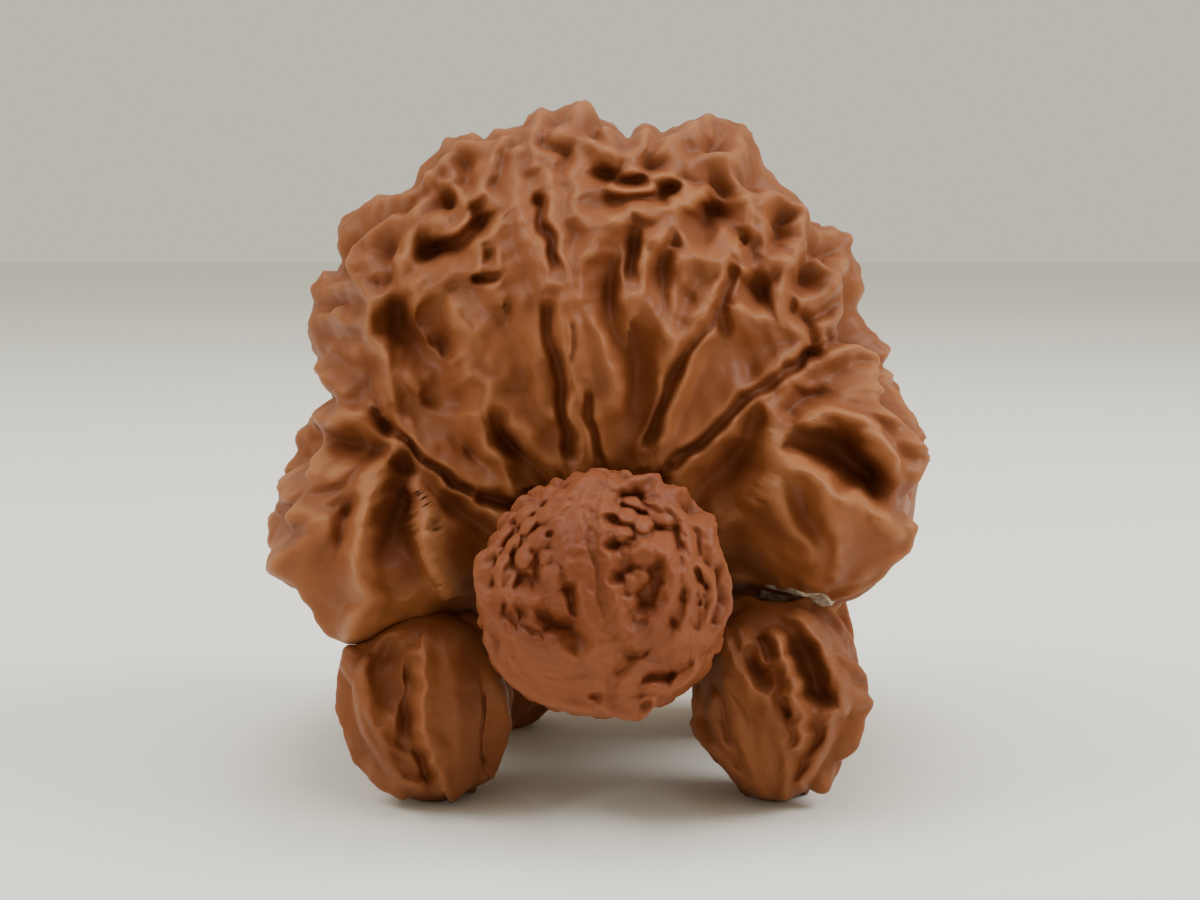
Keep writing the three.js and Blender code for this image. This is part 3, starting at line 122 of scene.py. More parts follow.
# Folds of the body: name, pixels along the crest, height, and reach of the flank on the left and on
# the right as one goes along the line (all mm)
BODY_FOLDS = [
    ("seam blade left", [(516, 155), (512, 180), (515, 212), (530, 245), (545, 282), (552, 312),
        (557, 345)], 3.25, 2.6, 2),
    ("seam blade right", [(548, 155), (549, 212), (559, 255), (566, 292), (571, 330), (573, 380),
        (573, 420), (579, 468)], 3.14, 1.6, 2.6),
    ("seam tongue at the top", [(531, 128), (531, 145), (537, 165)], 3.14, 1.2, 1.2),
    ("broad valve left of the seam", [(500, 226), (506, 250), (520, 290), (535, 330), (545, 370),
        (550, 410)], 2.58, 3, 2.6),
    ("fold right of the seam", [(617, 221), (600, 240), (586, 260), (579, 285), (578, 330), (584, 370),
        (588, 410), (592, 450)], 2.91, 2.2, 2.2),
    ("wavy flap beside the seam", [(592, 300), (597, 330), (604, 350), (612, 368), (613, 388),
        (608, 402), (597, 416)], 2.91, 1.4, 2.2),
    ("top knob, middle", [(583, 104), (572, 116), (560, 127)], 3.36, 2, 2),
    ("top knob, left of the seam", [(541, 110), (532, 124)], 2.91, 1.6, 1.6),
    ("top left step", [(500, 132), (518, 131)], 2.24, 1.6, 1.6),
    ("upright fold, top left", [(503, 134), (492, 155), (486, 175), (482, 192)], 3.02, 1.4, 1.6),
    ("lip over the upper pit", [(557, 127), (575, 137), (592, 143), (605, 151), (618, 157), (628, 157),
        (634, 170)], 3.02, 1.6, 1.4),
    ("top notch knob", [(608, 124), (612, 142)], 2.69, 1.2, 1.2),
    ("top right knob", [(644, 127), (640, 145), (634, 158)], 2.91, 1.3, 1.3),
    ("far right top fold", [(708, 117), (692, 131), (672, 139), (664, 152)], 3.25, 1.8, 1.8),
    ("ladder down the top right", [(741, 127), (738, 150), (728, 168), (742, 190), (752, 206),
        (749, 226)], 3.02, 2, 1.5),
    ("small loop, top right", [(683, 150), (676, 162), (668, 178), (684, 184), (690, 196)], 2.69, 1.2,
        1.2),
    ("bridge under the top right", [(690, 165), (705, 158), (725, 160)], 2.69, 1.6, 1.6),
    ("arch over the three slits", [(622, 220), (633, 209), (650, 212), (668, 210), (683, 203),
        (700, 195), (714, 193), (727, 198), (742, 200)], 2.91, 1.6, 1.3),
    ("bar between the small pits", [(618, 190), (640, 190), (655, 180), (668, 178)], 2.58, 1.2, 1),
    ("wall of the upper pit", [(578, 150), (574, 180), (577, 215), (590, 228), (612, 222)], 2.46, 2.6,
        1.6),
    ("edge of the second slit", [(657, 239), (646, 252), (640, 270), (637, 292), (634, 315)], 2.8, 0.9,
        2.8),
    ("edge of the third slit", [(690, 252), (683, 264), (680, 285), (676, 310), (668, 335)], 2.58, 1.6,
        1.2),
    ("top of the right tongue", [(690, 252), (705, 258), (722, 258), (736, 249)], 2.8, 1.4, 2.4),
    ("lip left of the diagonal pit", [(680, 225), (684, 240), (690, 251)], 2.69, 1.5, 1),
    ("lip of the right seam", [(736, 250), (727, 285), (712, 312), (692, 340), (678, 352)], 2.91, 1, 3),
    ("faint line on the tongue", [(638, 296), (652, 312), (665, 330), (675, 349)], 2.46, 2.4, 2.4),
    ("neck above the tongue", [(655, 240), (668, 222), (681, 205)], 2.69, 1.6, 1.6),
    ("arch of the right valve", [(742, 308), (765, 318), (790, 327), (804, 338), (795, 352), (782, 363),
        (776, 377)], 2.8, 1.5, 2.8),
    ("inner edge of the right valve", [(704, 330), (690, 350), (678, 375), (668, 405), (658, 440)],
        2.24, 1.2, 3.4),
    ("right band", [(676, 473), (700, 450), (725, 428), (745, 408), (770, 391), (790, 379), (812, 370),
        (832, 360)], 2.8, 1.3, 2.4),
    ("band's upper edge", [(655, 462), (690, 443), (720, 421), (742, 397), (758, 385), (778, 374)],
        2.13, 3.2, 0.9),
    ("stair of knobs, right", [(751, 215), (765, 221), (764, 236), (767, 254), (784, 263), (783, 282),
        (778, 312)], 2.91, 1.5, 1.5),
    ("roof of the square pit", [(742, 268), (760, 270), (775, 262), (784, 262)], 2.46, 1.2, 1.4),
    ("round loop, right shoulder", [(765, 204), (778, 192), (791, 195), (800, 210), (800, 240),
        (794, 257), (782, 260)], 3.02, 1.6, 1.4),
    ("far loop, right shoulder", [(800, 208), (812, 222), (822, 230), (843, 232), (851, 241),
        (845, 255), (838, 270), (836, 285)], 2.8, 1.7, 1.7),
    ("inner hook, right shoulder", [(820, 260), (832, 275), (830, 292), (818, 300), (800, 300),
        (788, 300)], 2.58, 1.3, 1.3),
    ("outer bump, right shoulder", [(855, 262), (860, 285), (858, 305)], 2.24, 1.6, 1.6),
    ("bright fold, right shoulder", [(842, 285), (845, 305), (835, 322), (822, 328), (826, 346)], 2.69,
        1.3, 1.3),
    ("short step, right", [(784, 322), (800, 330)], 2.46, 1.2, 1.2),
    ("double knob, right", [(846, 336), (858, 350), (864, 366), (862, 385), (848, 398), (836, 407)],
        2.91, 1.5, 1.4),
    ("wavy fold under the knobs", [(836, 350), (838, 366), (832, 377), (812, 384), (792, 385),
        (782, 400), (772, 410)], 2.69, 1.4, 1.4),
    ("wavy hem, upper", [(845, 405), (828, 409), (816, 419), (815, 432), (805, 442), (793, 454),
        (790, 466), (796, 478), (787, 490), (780, 503)], 3.02, 2, 1.6),
    ("hem valley edge", [(770, 408), (785, 425), (800, 437)], 2.46, 1.6, 1.8),
    ("wavy hem, lower", [(768, 420), (777, 442), (777, 478), (765, 490), (752, 503), (738, 514),
        (722, 522)], 2.8, 1.2, 3.4),
    ("arch over the right cavity", [(814, 424), (822, 414), (834, 411), (846, 414), (862, 419),
        (875, 425), (883, 436), (889, 450), (896, 464), (900, 484), (904, 502), (908, 520)], 5.15, 1.7,
        2),
    ("sill of the right cavity", [(796, 457), (806, 464), (815, 472), (830, 484), (846, 494),
        (864, 503), (882, 511), (898, 519)], 3.36, 1.6, 4),
    ("outer fold, right lobe", [(844, 345), (856, 350), (862, 362), (863, 376), (870, 388), (878, 400),
        (888, 412), (900, 424), (914, 434), (926, 446)], 4.26, 1.4, 3),
    ("outer shoulder, right lobe", [(868, 330), (882, 346), (888, 358), (883, 368), (890, 384),
        (902, 400), (912, 420), (924, 436)], 3.36, 2, 2),
    ("outer edge, right lobe", [(926, 448), (921, 464), (918, 485), (914, 515), (909, 538)], 3.36, 1.6,
        2.6),
    ("lower rib, inner", [(776, 490), (782, 512), (796, 530), (810, 548), (818, 565), (815, 582)], 2.91,
        2.2, 3),
    ("lower rib, outer", [(802, 462), (812, 482), (822, 500), (832, 516), (838, 535), (839, 552),
        (834, 572)], 3.14, 2.4, 1.6),
    ("right lobe's rim", [(735, 597), (790, 602), (850, 595), (882, 577), (903, 555), (912, 530)], 2.69,
        1.2, 1.6),
    ("right lobe's belly", [(740, 585), (790, 591), (845, 584), (876, 566), (896, 545)], 2.69, 2.6,
        1.2),
    ("arch over the left cavity", [(404, 258), (408, 237), (418, 223), (435, 222), (452, 228),
        (463, 232)], 3.02, 1.6, 1.6),
    ("small arch, left top", [(418, 212), (427, 198), (440, 187), (453, 193), (458, 206)], 2.8, 1.5,
        1.4),
    ("curled lip, left top", [(498, 204), (482, 196), (468, 198), (460, 208), (463, 223), (470, 232)],
        3.25, 1.7, 1.5),
    ("small flap, left top", [(492, 236), (481, 238), (479, 252), (482, 268)], 2.58, 1, 1),
    ("left blade's outer edge", [(500, 224), (493, 236), (496, 265), (501, 295)], 2.8, 0.9, 2.6),
    ("bump row, left top", [(430, 178), (440, 160), (452, 143), (468, 140), (482, 146)], 2.91, 1.8,
        1.6),
    ("hook, left top", [(430, 182), (445, 183), (454, 176), (450, 160)], 2.46, 1.2, 1.2),
    ("link to the curled lip", [(482, 146), (478, 165), (480, 190)], 2.46, 1.3, 1.3),
    ("ridge along the left shoulder", [(348, 262), (350, 247), (362, 235), (378, 232), (390, 224),
        (405, 222), (418, 212)], 2.8, 1.5, 1.5),
    ("far left shoulder", [(343, 228), (365, 212), (385, 198), (412, 197)], 2.58, 1.7, 1.7),
    ("left corner", [(340, 232), (337, 248), (343, 262)], 2.24, 1.6, 1.6),
    ("left corner step", [(412, 197), (425, 178)], 2.24, 1.6, 1.6),
    ("long fold left of the deep pit", [(350, 262), (367, 262), (372, 272), (362, 277), (368, 292),
        (375, 303), (373, 318), (369, 335), (378, 347), (386, 358), (390, 373), (392, 396)], 2.91, 2.2,
        1.6),
    ("roof of the deep pit", [(375, 303), (392, 292), (408, 288)], 2.58, 1.3, 1.3),
    ("long fold right of the deep pit", [(403, 258), (407, 280), (420, 301), (433, 317), (452, 321),
        (465, 340), (471, 358), (468, 373), (480, 388), (482, 402)], 3.14, 3.4, 1.5),
    ("shelf above the valve", [(408, 280), (430, 285), (455, 272), (480, 268)], 2.46, 2.2, 2.2),
    ("upper left shelf", [(316, 288), (340, 285), (365, 296)], 2.24, 1.3, 1.3),
    ("middle left shelf", [(309, 318), (335, 315), (370, 320)], 2.24, 1.3, 1.5),
    ("lower left shelf", [(312, 345), (335, 350), (360, 352)], 1.34, 1.6, 1.6),
    ("tooth in the deep pit", [(453, 372), (453, 361), (463, 353)], 2.24, 0.9, 0.9),
    ("floor of the deep pit", [(405, 378), (425, 376), (450, 376)], 1.57, 2, 1.5),
    ("short fold, left", [(392, 396), (385, 408), (395, 425)], 1.79, 2, 2),
    ("left band, outer edge", [(316, 372), (335, 396), (358, 416), (382, 434), (402, 451), (425, 472),
        (448, 489), (475, 507), (500, 520)], 3.25, 2.6, 1.3),
    ("left band, inner edge", [(385, 408), (402, 430), (430, 454), (456, 472), (482, 487), (515, 488)],
        2.69, 2.6, 1),
    ("lower edge of the broad valve", [(476, 330), (490, 355), (497, 378), (488, 396), (502, 410),
        (523, 431), (545, 454), (556, 468)], 3.02, 3.4, 1.2),
    ("wavy fold above the head", [(482, 402), (477, 418), (480, 437), (492, 453), (505, 471),
        (514, 486)], 2.91, 1.4, 1.4),
    ("left lobe, first fold", [(350, 418), (335, 428), (333, 440), (327, 455), (324, 470), (317, 486),
        (308, 498), (298, 510)], 5.15, 3.2, 2.2),
    ("left lobe, small bar", [(348, 467), (356, 455), (368, 446), (378, 441)], 4.26, 1.6, 2.6),
    ("left lobe, small cap", [(345, 436), (352, 430), (362, 436)], 3.81, 1.4, 1.6),
    ("left lobe, short rib", [(333, 470), (331, 484), (330, 498)], 4.37, 3, 1.6),
    ("left lobe, second fold", [(334, 499), (322, 503), (313, 512), (308, 525), (302, 538), (292, 550),
        (283, 562)], 4.26, 3.6, 3),
    ("left lobe, main fold", [(395, 451), (384, 460), (379, 467), (375, 480), (370, 491), (371, 502),
        (366, 514), (360, 523), (359, 537), (355, 556), (358, 574), (361, 590), (361, 606), (365, 622)],
        5.49, 2.4, 2),
    ("left lobe, inner fold", [(417, 478), (420, 500), (424, 530), (428, 552), (437, 572), (448, 592)],
        4.14, 4.6, 1.4),
    ("left lobe's outline, upper", [(338, 414), (322, 420), (308, 429), (296, 438), (292, 452),
        (291, 468), (284, 484), (286, 498)], 3.81, 3, 2),
    ("left lobe's outline, lower", [(284, 500), (274, 514), (274, 540), (283, 560), (303, 588),
        (330, 612), (357, 632)], 2.91, 3.2, 1.4),
    ("left lobe's rim", [(360, 626), (380, 634), (410, 638), (445, 634), (480, 624), (520, 610)], 3.14,
        1.5, 1),
    ("left lobe's belly", [(369, 612), (390, 622), (420, 624), (450, 619), (480, 608)], 2.8, 3, 1.4),
]
# Pits of the body: name, pixels along the bottom, depth, reach
BODY_PITS = [
    ("shadow under the left band", [(338, 414), (352, 426), (374, 441), (398, 457), (422, 479),
        (445, 499), (480, 520)], 1.46, 1.49),
    ("seam groove, upper", [(539, 150), (541, 204), (551, 243), (557, 276)], 2.24, 0.83),
    ("seam groove, lower", [(548, 295), (551, 330), (558, 370), (560, 405), (569, 440), (574, 466)],
        1.94, 0.94),
    ("hollow beside the seam", [(552, 370), (556, 400)], 0.78, 1.38),
    ("bright slit in the seam", [(570, 318), (573, 345), (569, 375), (571, 395)], 0.6, 0.39),
    ("groove right of the seam", [(586, 385), (588, 410), (593, 440), (598, 466)], 1.35, 0.66),
    ("upper pit", [(602, 176)], 1.17, 1.61),
    ("flat pit", [(621, 184), (643, 182)], 1.07, 0.88),
    ("second pit", [(590, 203)], 0.88, 1.72),
    ("second pit, right part", [(610, 205)], 0.88, 1.38),
    ("pit under the loop", [(662, 200), (673, 188)], 1.07, 0.99),
    ("small pit, top right", [(686, 170)], 1.49, 0.88),
    ("slot at the top right", [(712, 130), (698, 152)], 2.09, 0.99),
    ("dimple, top", [(650, 140)], 1.35, 0.88),
    ("slot in the top knob", [(587, 128), (588, 138)], 1.35, 0.66),
    ("diagonal pit", [(690, 242), (700, 226), (720, 205)], 2.92, 1.95),
    ("first slit", [(632, 232), (632, 285)], 2.33, 0.88),
    ("long hollow", [(602, 268), (605, 300), (620, 330)], 1.95, 1.72),
    ("hollow above the head", [(640, 350), (640, 400), (638, 450)], 1.56, 1.72),
    ("third slit", [(684, 275), (684, 318)], 1.17, 1.15),
    ("right seam", [(735, 262), (727, 288), (720, 307), (700, 330), (685, 350), (672, 376), (663, 400),
        (655, 430), (645, 455)], 2.24, 0.88),
    ("square pit", [(757, 278), (755, 296)], 1.36, 1.95),
    ("small pit beside the square one", [(787, 305)], 1.36, 1.15),
    ("dent in the round loop", [(775, 215), (785, 235)], 0.88, 1.26),
    ("lower dent in the round loop", [(770, 240)], 1.2, 0.88),
    ("dent in the right valve", [(750, 368)], 0.96, 2.1),
    ("upper dent in the right valve", [(720, 322)], 0.58, 1.72),
    ("groove over the right band", [(672, 463), (697, 447), (722, 424), (742, 400), (758, 388),
        (778, 378), (800, 358), (812, 351)], 1.94, 0.83),
    ("hollow under the right band", [(752, 420)], 0.98, 2.07),
    ("lower hollow, right", [(735, 450)], 0.58, 1.84),
    ("right cavity", [(816, 444), (832, 452), (852, 468), (874, 488)], 4.5, 3.15),
    ("right cavity, lower corner", [(794, 490), (803, 503), (813, 522)], 0.9, 1.8),
    ("small cavity beside the hem", [(852, 404), (878, 402)], 2.15, 1.49),
    ("trough of the outer fold", [(888, 432), (898, 455), (906, 482)], 1.95, 1.61),
    ("dimple beside the double knob", [(838, 342)], 1.79, 0.88),
    ("deep pit", [(428, 318), (446, 342)], 4.37, 2.42),
    ("deep pit, floor", [(398, 318), (422, 345), (442, 374)], 2.73, 3.36),
    ("left cavity", [(430, 252), (455, 243), (482, 226)], 2.54, 1.72),
    ("slot above the left cavity", [(455, 186), (459, 218)], 2.69, 0.99),
    ("small slot, left", [(478, 280), (497, 277)], 1.79, 0.77),
    ("slot beside the flap", [(488, 245), (488, 268)], 1.35, 0.66),
    ("dark corner, left shoulder", [(345, 281), (362, 277)], 2.24, 0.99),
    ("trough between the shelves", [(332, 303), (366, 306)], 1.79, 0.99),
    ("dimple, left top", [(460, 165)], 0.68, 1.26),
    ("dent in the small arch", [(446, 208)], 0.88, 1.15),
    ("hollow under the deep pit", [(430, 392), (470, 395)], 1.75, 1.84),
    ("groove in the left band", [(378, 408), (400, 437), (430, 463), (458, 486), (482, 499)], 1.79,
        0.77),
    ("shadow beside the head", [(485, 498), (515, 504)], 1.56, 1.26),
    ("trough above the head", [(500, 420), (510, 450)], 1.17, 1.26),
    ("trough left of it", [(470, 420), (475, 450)], 0.78, 1.15),
    ("left lobe, main pit", [(400, 478), (394, 508), (393, 545), (399, 574)], 3.28, 2.62),
    ("left lobe, second pit", [(357, 474), (351, 505), (346, 534)], 1.95, 1.72),
    ("left lobe, outer trough", [(312, 466), (302, 490)], 1.17, 1.61),
    ("left lobe, upper trough", [(322, 440), (308, 470)], 1.27, 1.38),
    ("left lobe, slot", [(355, 440), (372, 437)], 1.49, 0.66),
    ("left rim groove", [(360, 622), (385, 630), (430, 628), (480, 613)], 0.9, 0.55),
    ("right rim groove", [(740, 583), (790, 590), (850, 580), (880, 563)], 0.75, 0.55),
]
# Swells of the body, broad and rounded: name, pixels along the top, height, reach
BODY_SWELLS = [
    ("left lobe, lower belly", [(378, 580), (400, 592), (430, 600)], 2.4, 4.2),
    ("left lobe, inner belly", [(440, 520), (455, 550), (465, 585)], 2.6, 4.6),
    ("left lobe, outer belly", [(300, 545), (318, 570), (340, 596)], 2.6, 4.4),
    ("right lobe, lower belly", [(850, 545), (875, 535)], 2.2, 4.6),
    ("right lobe, inner belly", [(745, 545), (775, 560), (800, 560)], 2.4, 4.8),
    ("right lobe, tongue", [(815, 520), (820, 545), (826, 560)], 1.8, 3),
]
# Upper outline of the body in pixels, from the right flank over the top to the left flank
BODY_OUTLINE = [
    (847, 595), (875, 582), (900, 560), (911, 535), (917, 500), (921, 465), (927, 450), (926, 435),
    (917, 425), (905, 402), (897, 385), (886, 370), (890, 352), (880, 341), (867, 328), (857, 310),
    (862, 290), (861, 275), (850, 252), (852, 240), (837, 230), (820, 229), (807, 222), (804, 207),
    (795, 196), (780, 187), (767, 170), (755, 145), (751, 133), (745, 127), (733, 126), (722, 122),
    (710, 116), (692, 123), (675, 129), (662, 135), (654, 128), (645, 125), (637, 129), (628, 143),
    (620, 134), (613, 126), (600, 122), (592, 107), (580, 104), (568, 107), (552, 113), (541, 109),
    (530, 116), (522, 128), (507, 131), (495, 131), (484, 142), (472, 135), (457, 140), (445, 142),
    (436, 155), (422, 167), (412, 189), (400, 197), (375, 199), (360, 210), (342, 223), (337, 245),
    (342, 266), (337, 275), (322, 276), (312, 290), (314, 306), (306, 330), (310, 350), (319, 361),
    (315, 375), (328, 384), (333, 403), (330, 413), (310, 422), (295, 437), (291, 460), (283, 490),
    (286, 500), (273, 515), (273, 540), (285, 565), (305, 590), (357, 634),
]
RIM_BACK = 3.0       # the outline lies this far in front of the body's middle
BODY_CELLS = 150     # cells of its made-up relief, on the sides that the photograph doesn't show

# Folds of the head nut, as in BODY_FOLDS
HEAD_FOLDS = [
    ("band left", [(580, 479), (567, 500), (556, 517), (562, 540), (570, 562), (582, 590), (588, 620)],
        1.35, 1.1, 1.3),
    ("band right", [(612, 478), (604, 505), (602, 535), (606, 560), (611, 590), (620, 620), (630, 640)],
        1.35, 1.2, 0.8),
    ("band, upper left foot", [(560, 492), (548, 508), (546, 518)], 1.2, 0.7, 0.7),
    ("crown right", [(625, 482), (640, 478), (655, 480), (664, 492), (658, 505)], 1.35, 0.8, 0.7),
    ("right brow", [(672, 492), (692, 494), (706, 508), (716, 528), (719, 552)], 1.35, 1.3, 1.3),
    ("right cheek line", [(656, 505), (672, 506), (684, 520), (690, 545), (688, 570)], 1.2, 1, 0.8),
    ("right outer line", [(690, 520), (702, 528), (706, 545)], 0.9, 0.8, 0.7),
    ("edge of the right hollow", [(636, 556), (655, 548), (668, 556), (674, 575), (668, 600),
        (655, 622)], 1.35, 1.2, 0.9),
    ("lower right cheek", [(684, 575), (692, 590), (688, 615), (676, 640)], 1.2, 1, 1),
    ("outer cheek line", [(700, 566), (712, 580), (714, 600), (706, 622)], 1.2, 0.8, 0.8),
    ("far cheek", [(722, 560), (731, 580), (732, 606), (722, 630)], 1.05, 0.9, 0.9),
    ("lower left lobe", [(480, 560), (478, 585), (486, 610), (505, 632), (535, 648), (570, 652)], 1.2,
        1.4, 1.4),
    ("lip over the left hollow", [(500, 566), (500, 590), (515, 600), (540, 600), (560, 612)], 1.2, 1,
        0.7),
    ("left underside", [(487, 630), (492, 660), (510, 682), (540, 700), (575, 708)], 0.75, 1.3, 1.3),
    ("chin left", [(570, 640), (590, 650), (600, 670), (600, 690)], 1.05, 1.2, 1.2),
    ("lower right lobe", [(640, 630), (660, 640), (690, 640), (712, 640)], 1.05, 1.4, 1.4),
    ("chin right", [(640, 665), (625, 680), (622, 700), (632, 714)], 1.35, 1.2, 1),
    ("tip", [(600, 700), (608, 716), (640, 716), (653, 703)], 1.35, 0.9, 0.9),
    ("lower right step", [(650, 688), (670, 690), (690, 683), (698, 670)], 1.2, 1, 0.8),
    ("lower left step", [(575, 708), (590, 712)], 0.9, 0.8, 0.8),
    ("smooth middle band", [(592, 476), (578, 510), (577, 545), (587, 580), (598, 620), (606, 655)],
        1.35, 1.9, 1.9),
]
# Round pebbles of the head nut: two pixel numbers, radius, height
HEAD_PEBBLES = [
    (518, 508, 1.15, 1.14), (528, 524, 0.98, 1.04), (541, 538, 1.26, 1.14), (512, 543, 0.92, 1.04),
    (546, 556, 0.8, 1.04), (496, 528, 1.26, 0.85), (490, 545, 1.03, 0.85), (505, 562, 0.8, 0.85),
    (524, 556, 1.03, 0.95), (545, 492, 1.26, 0.85), (525, 492, 1.15, 0.85), (505, 512, 0.8, 0.76),
    (533, 508, 0.8, 0.76), (484, 560, 0.92, 0.76), (553, 580, 1.21, 1.33), (560, 598, 1.03, 1.04),
    (572, 560, 0.92, 0.76), (633, 502, 0.86, 1.04), (628, 516, 0.98, 1.14), (643, 523, 0.92, 1.04),
    (655, 490, 1.15, 0.95), (663, 515, 1.38, 1.04), (622, 534, 0.86, 1.04), (628, 553, 0.69, 0.85),
    (646, 548, 0.92, 1.04), (631, 582, 0.92, 1.04), (640, 575, 0.92, 0.95), (627, 603, 1.03, 1.04),
    (612, 507, 0.69, 0.95), (645, 508, 0.57, 0.76), (636, 620, 0.69, 0.85), (582, 628, 0.92, 0.95),
    (700, 590, 0.69, 0.85), (704, 606, 0.69, 0.76), (690, 655, 0.92, 0.57), (500, 650, 1.03, 0.38),
    (512, 668, 1.03, 0.38),
]
# Pores and grooves of the head nut, as in BODY_PITS
HEAD_PITS = [
    ("left basin", [(505, 518), (532, 548)], 0.58, 3.3),
    ("right basin", [(628, 500), (654, 522)], 0.66, 2.64),
    ("lower right basin", [(632, 560), (640, 600)], 0.58, 1.98),
    ("slit", [(583, 482), (585, 520), (590, 545), (595, 563), (600, 600), (606, 630)], 0.21, 0.28),
    ("pore 1", [(610, 520)], 1.24, 0.88),
    ("pore 2", [(668, 498)], 0.83, 0.66),
    ("pore 3", [(649, 513)], 0.66, 0.39),
    ("pore 4", [(655, 534)], 0.58, 0.55),
    ("pore 5", [(612, 546)], 1.32, 0.83),
    ("pore 6", [(617, 577)], 1.4, 0.88),
    ("pore 7", [(622, 562)], 0.58, 0.55),
    ("pore 8", [(630, 540)], 0.5, 0.44),
    ("right hollow", [(642, 572), (641, 600), (637, 620)], 1.07, 1.04),
    ("pore 9", [(550, 535)], 0.99, 0.72),
    ("pore 10", [(514, 529)], 0.83, 0.61),
    ("left hollow, upper", [(525, 582), (543, 585)], 0.74, 1.21),
    ("left hollow", [(548, 614), (568, 626), (578, 641)], 1.24, 1.43),
    ("left dent", [(520, 608)], 0.58, 0.99),
    ("slot beside the band", [(571, 588), (575, 612)], 0.91, 0.66),
    ("lower right slot", [(650, 677), (668, 678)], 0.99, 0.77),
    ("slot beside the tip", [(643, 697)], 0.99, 0.66),
    ("slot left of the tip", [(596, 697)], 1.16, 0.83),
    ("cheek nick", [(700, 537), (704, 548)], 0.33, 0.33),
    ("cheek pore", [(697, 572)], 0.58, 0.55),
    ("cheek slot", [(718, 590), (717, 615)], 0.41, 0.39),
    ("right dent", [(660, 600)], 0.33, 0.88),
    ("lower left dent", [(540, 675), (560, 678)], 0.25, 0.44),
    ("crown pore", [(632, 488)], 0.5, 0.44),
]
HEAD_CELLS = 260

# Folds of the two front feet, which the photograph shows, as in BODY_FOLDS
FOOT_FOLDS = {
    "front_left": [
        ("outer edge", [(348, 640), (338, 690), (341, 728), (357, 763), (395, 800)], 1.26, 1.2, 1.2),
        ("outer rib", [(352, 655), (348, 680), (356, 703), (361, 722), (364, 745), (371, 763),
            (384, 782)], 1.4, 0.9, 0.9),
        ("bright rib", [(361, 672), (361, 695), (367, 712), (379, 732), (387, 754), (400, 780),
            (413, 798)], 1.54, 1.1, 1.2),
        ("lip of the cleft", [(420, 655), (417, 690), (416, 715), (425, 735), (434, 755), (440, 780),
            (446, 800)], 1.96, 2.2, 0.8),
        ("broad front", [(448, 655), (455, 700), (458, 740), (460, 780)], 1.12, 2, 2),
        ("inner edge", [(498, 680), (508, 715), (506, 750), (494, 782)], 0.98, 1.5, 1.5),
    ],
    "front_right": [
        ("long front rib", [(728, 640), (733, 665), (746, 682), (760, 695), (772, 710), (781, 724),
            (786, 742)], 1.68, 1.1, 1.6),
        ("inner front rib", [(722, 645), (725, 680), (735, 715), (742, 745), (752, 775), (762, 798)],
            1.26, 1.4, 1),
        ("short top rib", [(738, 634), (748, 650), (763, 657)], 1.26, 0.8, 0.8),
        ("wavy rib", [(776, 640), (780, 655), (790, 667), (796, 680), (791, 695), (797, 705),
            (802, 717), (799, 726), (803, 736), (798, 748)], 2.1, 0.9, 1),
        ("tall rib", [(800, 618), (812, 633), (824, 648), (832, 668), (838, 685), (843, 700),
            (842, 710), (832, 716)], 2.1, 1.1, 1.1),
        ("lower hook", [(800, 704), (812, 707), (823, 713), (831, 723), (829, 737), (821, 752),
            (811, 768), (803, 786)], 1.68, 0.9, 0.9),
        ("outer rib", [(840, 676), (855, 686), (860, 706), (858, 740), (845, 770), (825, 785)], 1.54, 1,
            1),
        ("outer edge", [(840, 655), (855, 665), (866, 682), (864, 700), (867, 720), (862, 745),
            (850, 770)], 1.12, 1, 1),
        ("foot rib", [(785, 742), (788, 765), (786, 796)], 1.4, 0.9, 0.9),
        ("flat front", [(768, 690), (766, 730), (765, 780)], 0.98, 1.4, 1.4),
        ("inner side", [(714, 700), (712, 718), (725, 745), (742, 762)], 1.26, 0.9, 0.9),
        ("inner edge", [(685, 700), (688, 725), (705, 750), (730, 772), (745, 792)], 1.26, 1, 1),
    ],
}
# Pits of the two front feet, as in BODY_PITS
FOOT_PITS = {
    "front_left": [
        ("wide cleft", [(388, 655), (396, 692)], 2.05, 2.42),
        ("deep cleft", [(408, 650), (411, 690), (409, 722), (409, 742)], 2.99, 1.32),
        ("lower cleft", [(412, 738), (424, 762), (436, 784)], 1.26, 0.88),
        ("slot", [(483, 690), (482, 720), (479, 750), (478, 770)], 0.63, 0.39),
        ("outer groove", [(355, 715), (360, 740)], 0.63, 0.44),
    ],
    "front_right": [
        ("main hollow", [(802, 652), (808, 672), (817, 696)], 2.16, 1.87),
        ("outer hollow", [(847, 718), (838, 752), (826, 768)], 1.44, 1.21),
        ("inner hollow", [(706, 690), (702, 712)], 0.96, 0.88),
        ("lower inner hollow", [(730, 740), (745, 772)], 0.6, 0.77),
        ("top pit", [(766, 640), (772, 653)], 1.32, 0.88),
        ("upper groove", [(752, 652), (763, 682)], 1.08, 0.99),
        ("groove in the wavy rib", [(785, 700), (789, 712)], 0.84, 0.44),
    ],
}
FOOT_CELLS = 46

# How the traced lines are laid on the plain forms
FORM_REACH = 60.0           # no plain form reaches further from its middle
FORM_ROUNDS = 22            # halvings with which a plain form's skin is found
FIGURE_RANGE = (145.0, 235.0)    # distances from the eye between which the figure lies
SEEN_ROUNDS = 8             # halvings with which the eye's ray is brought to the skin
SLOPE_STEP = 0.05           # step with which the skin's slope is measured
FACING = (0.1, 0.6)         # how squarely skin faces the eye as its relief starts and ends turning
LAY_ROUNDS = 6              # rounds that shift a line until its raised form covers the traced pixels
LAY_LIMIT_PX = 12           # the most that one round shifts it
LAY_SHARE = 0.8             # share of the error that one round takes away

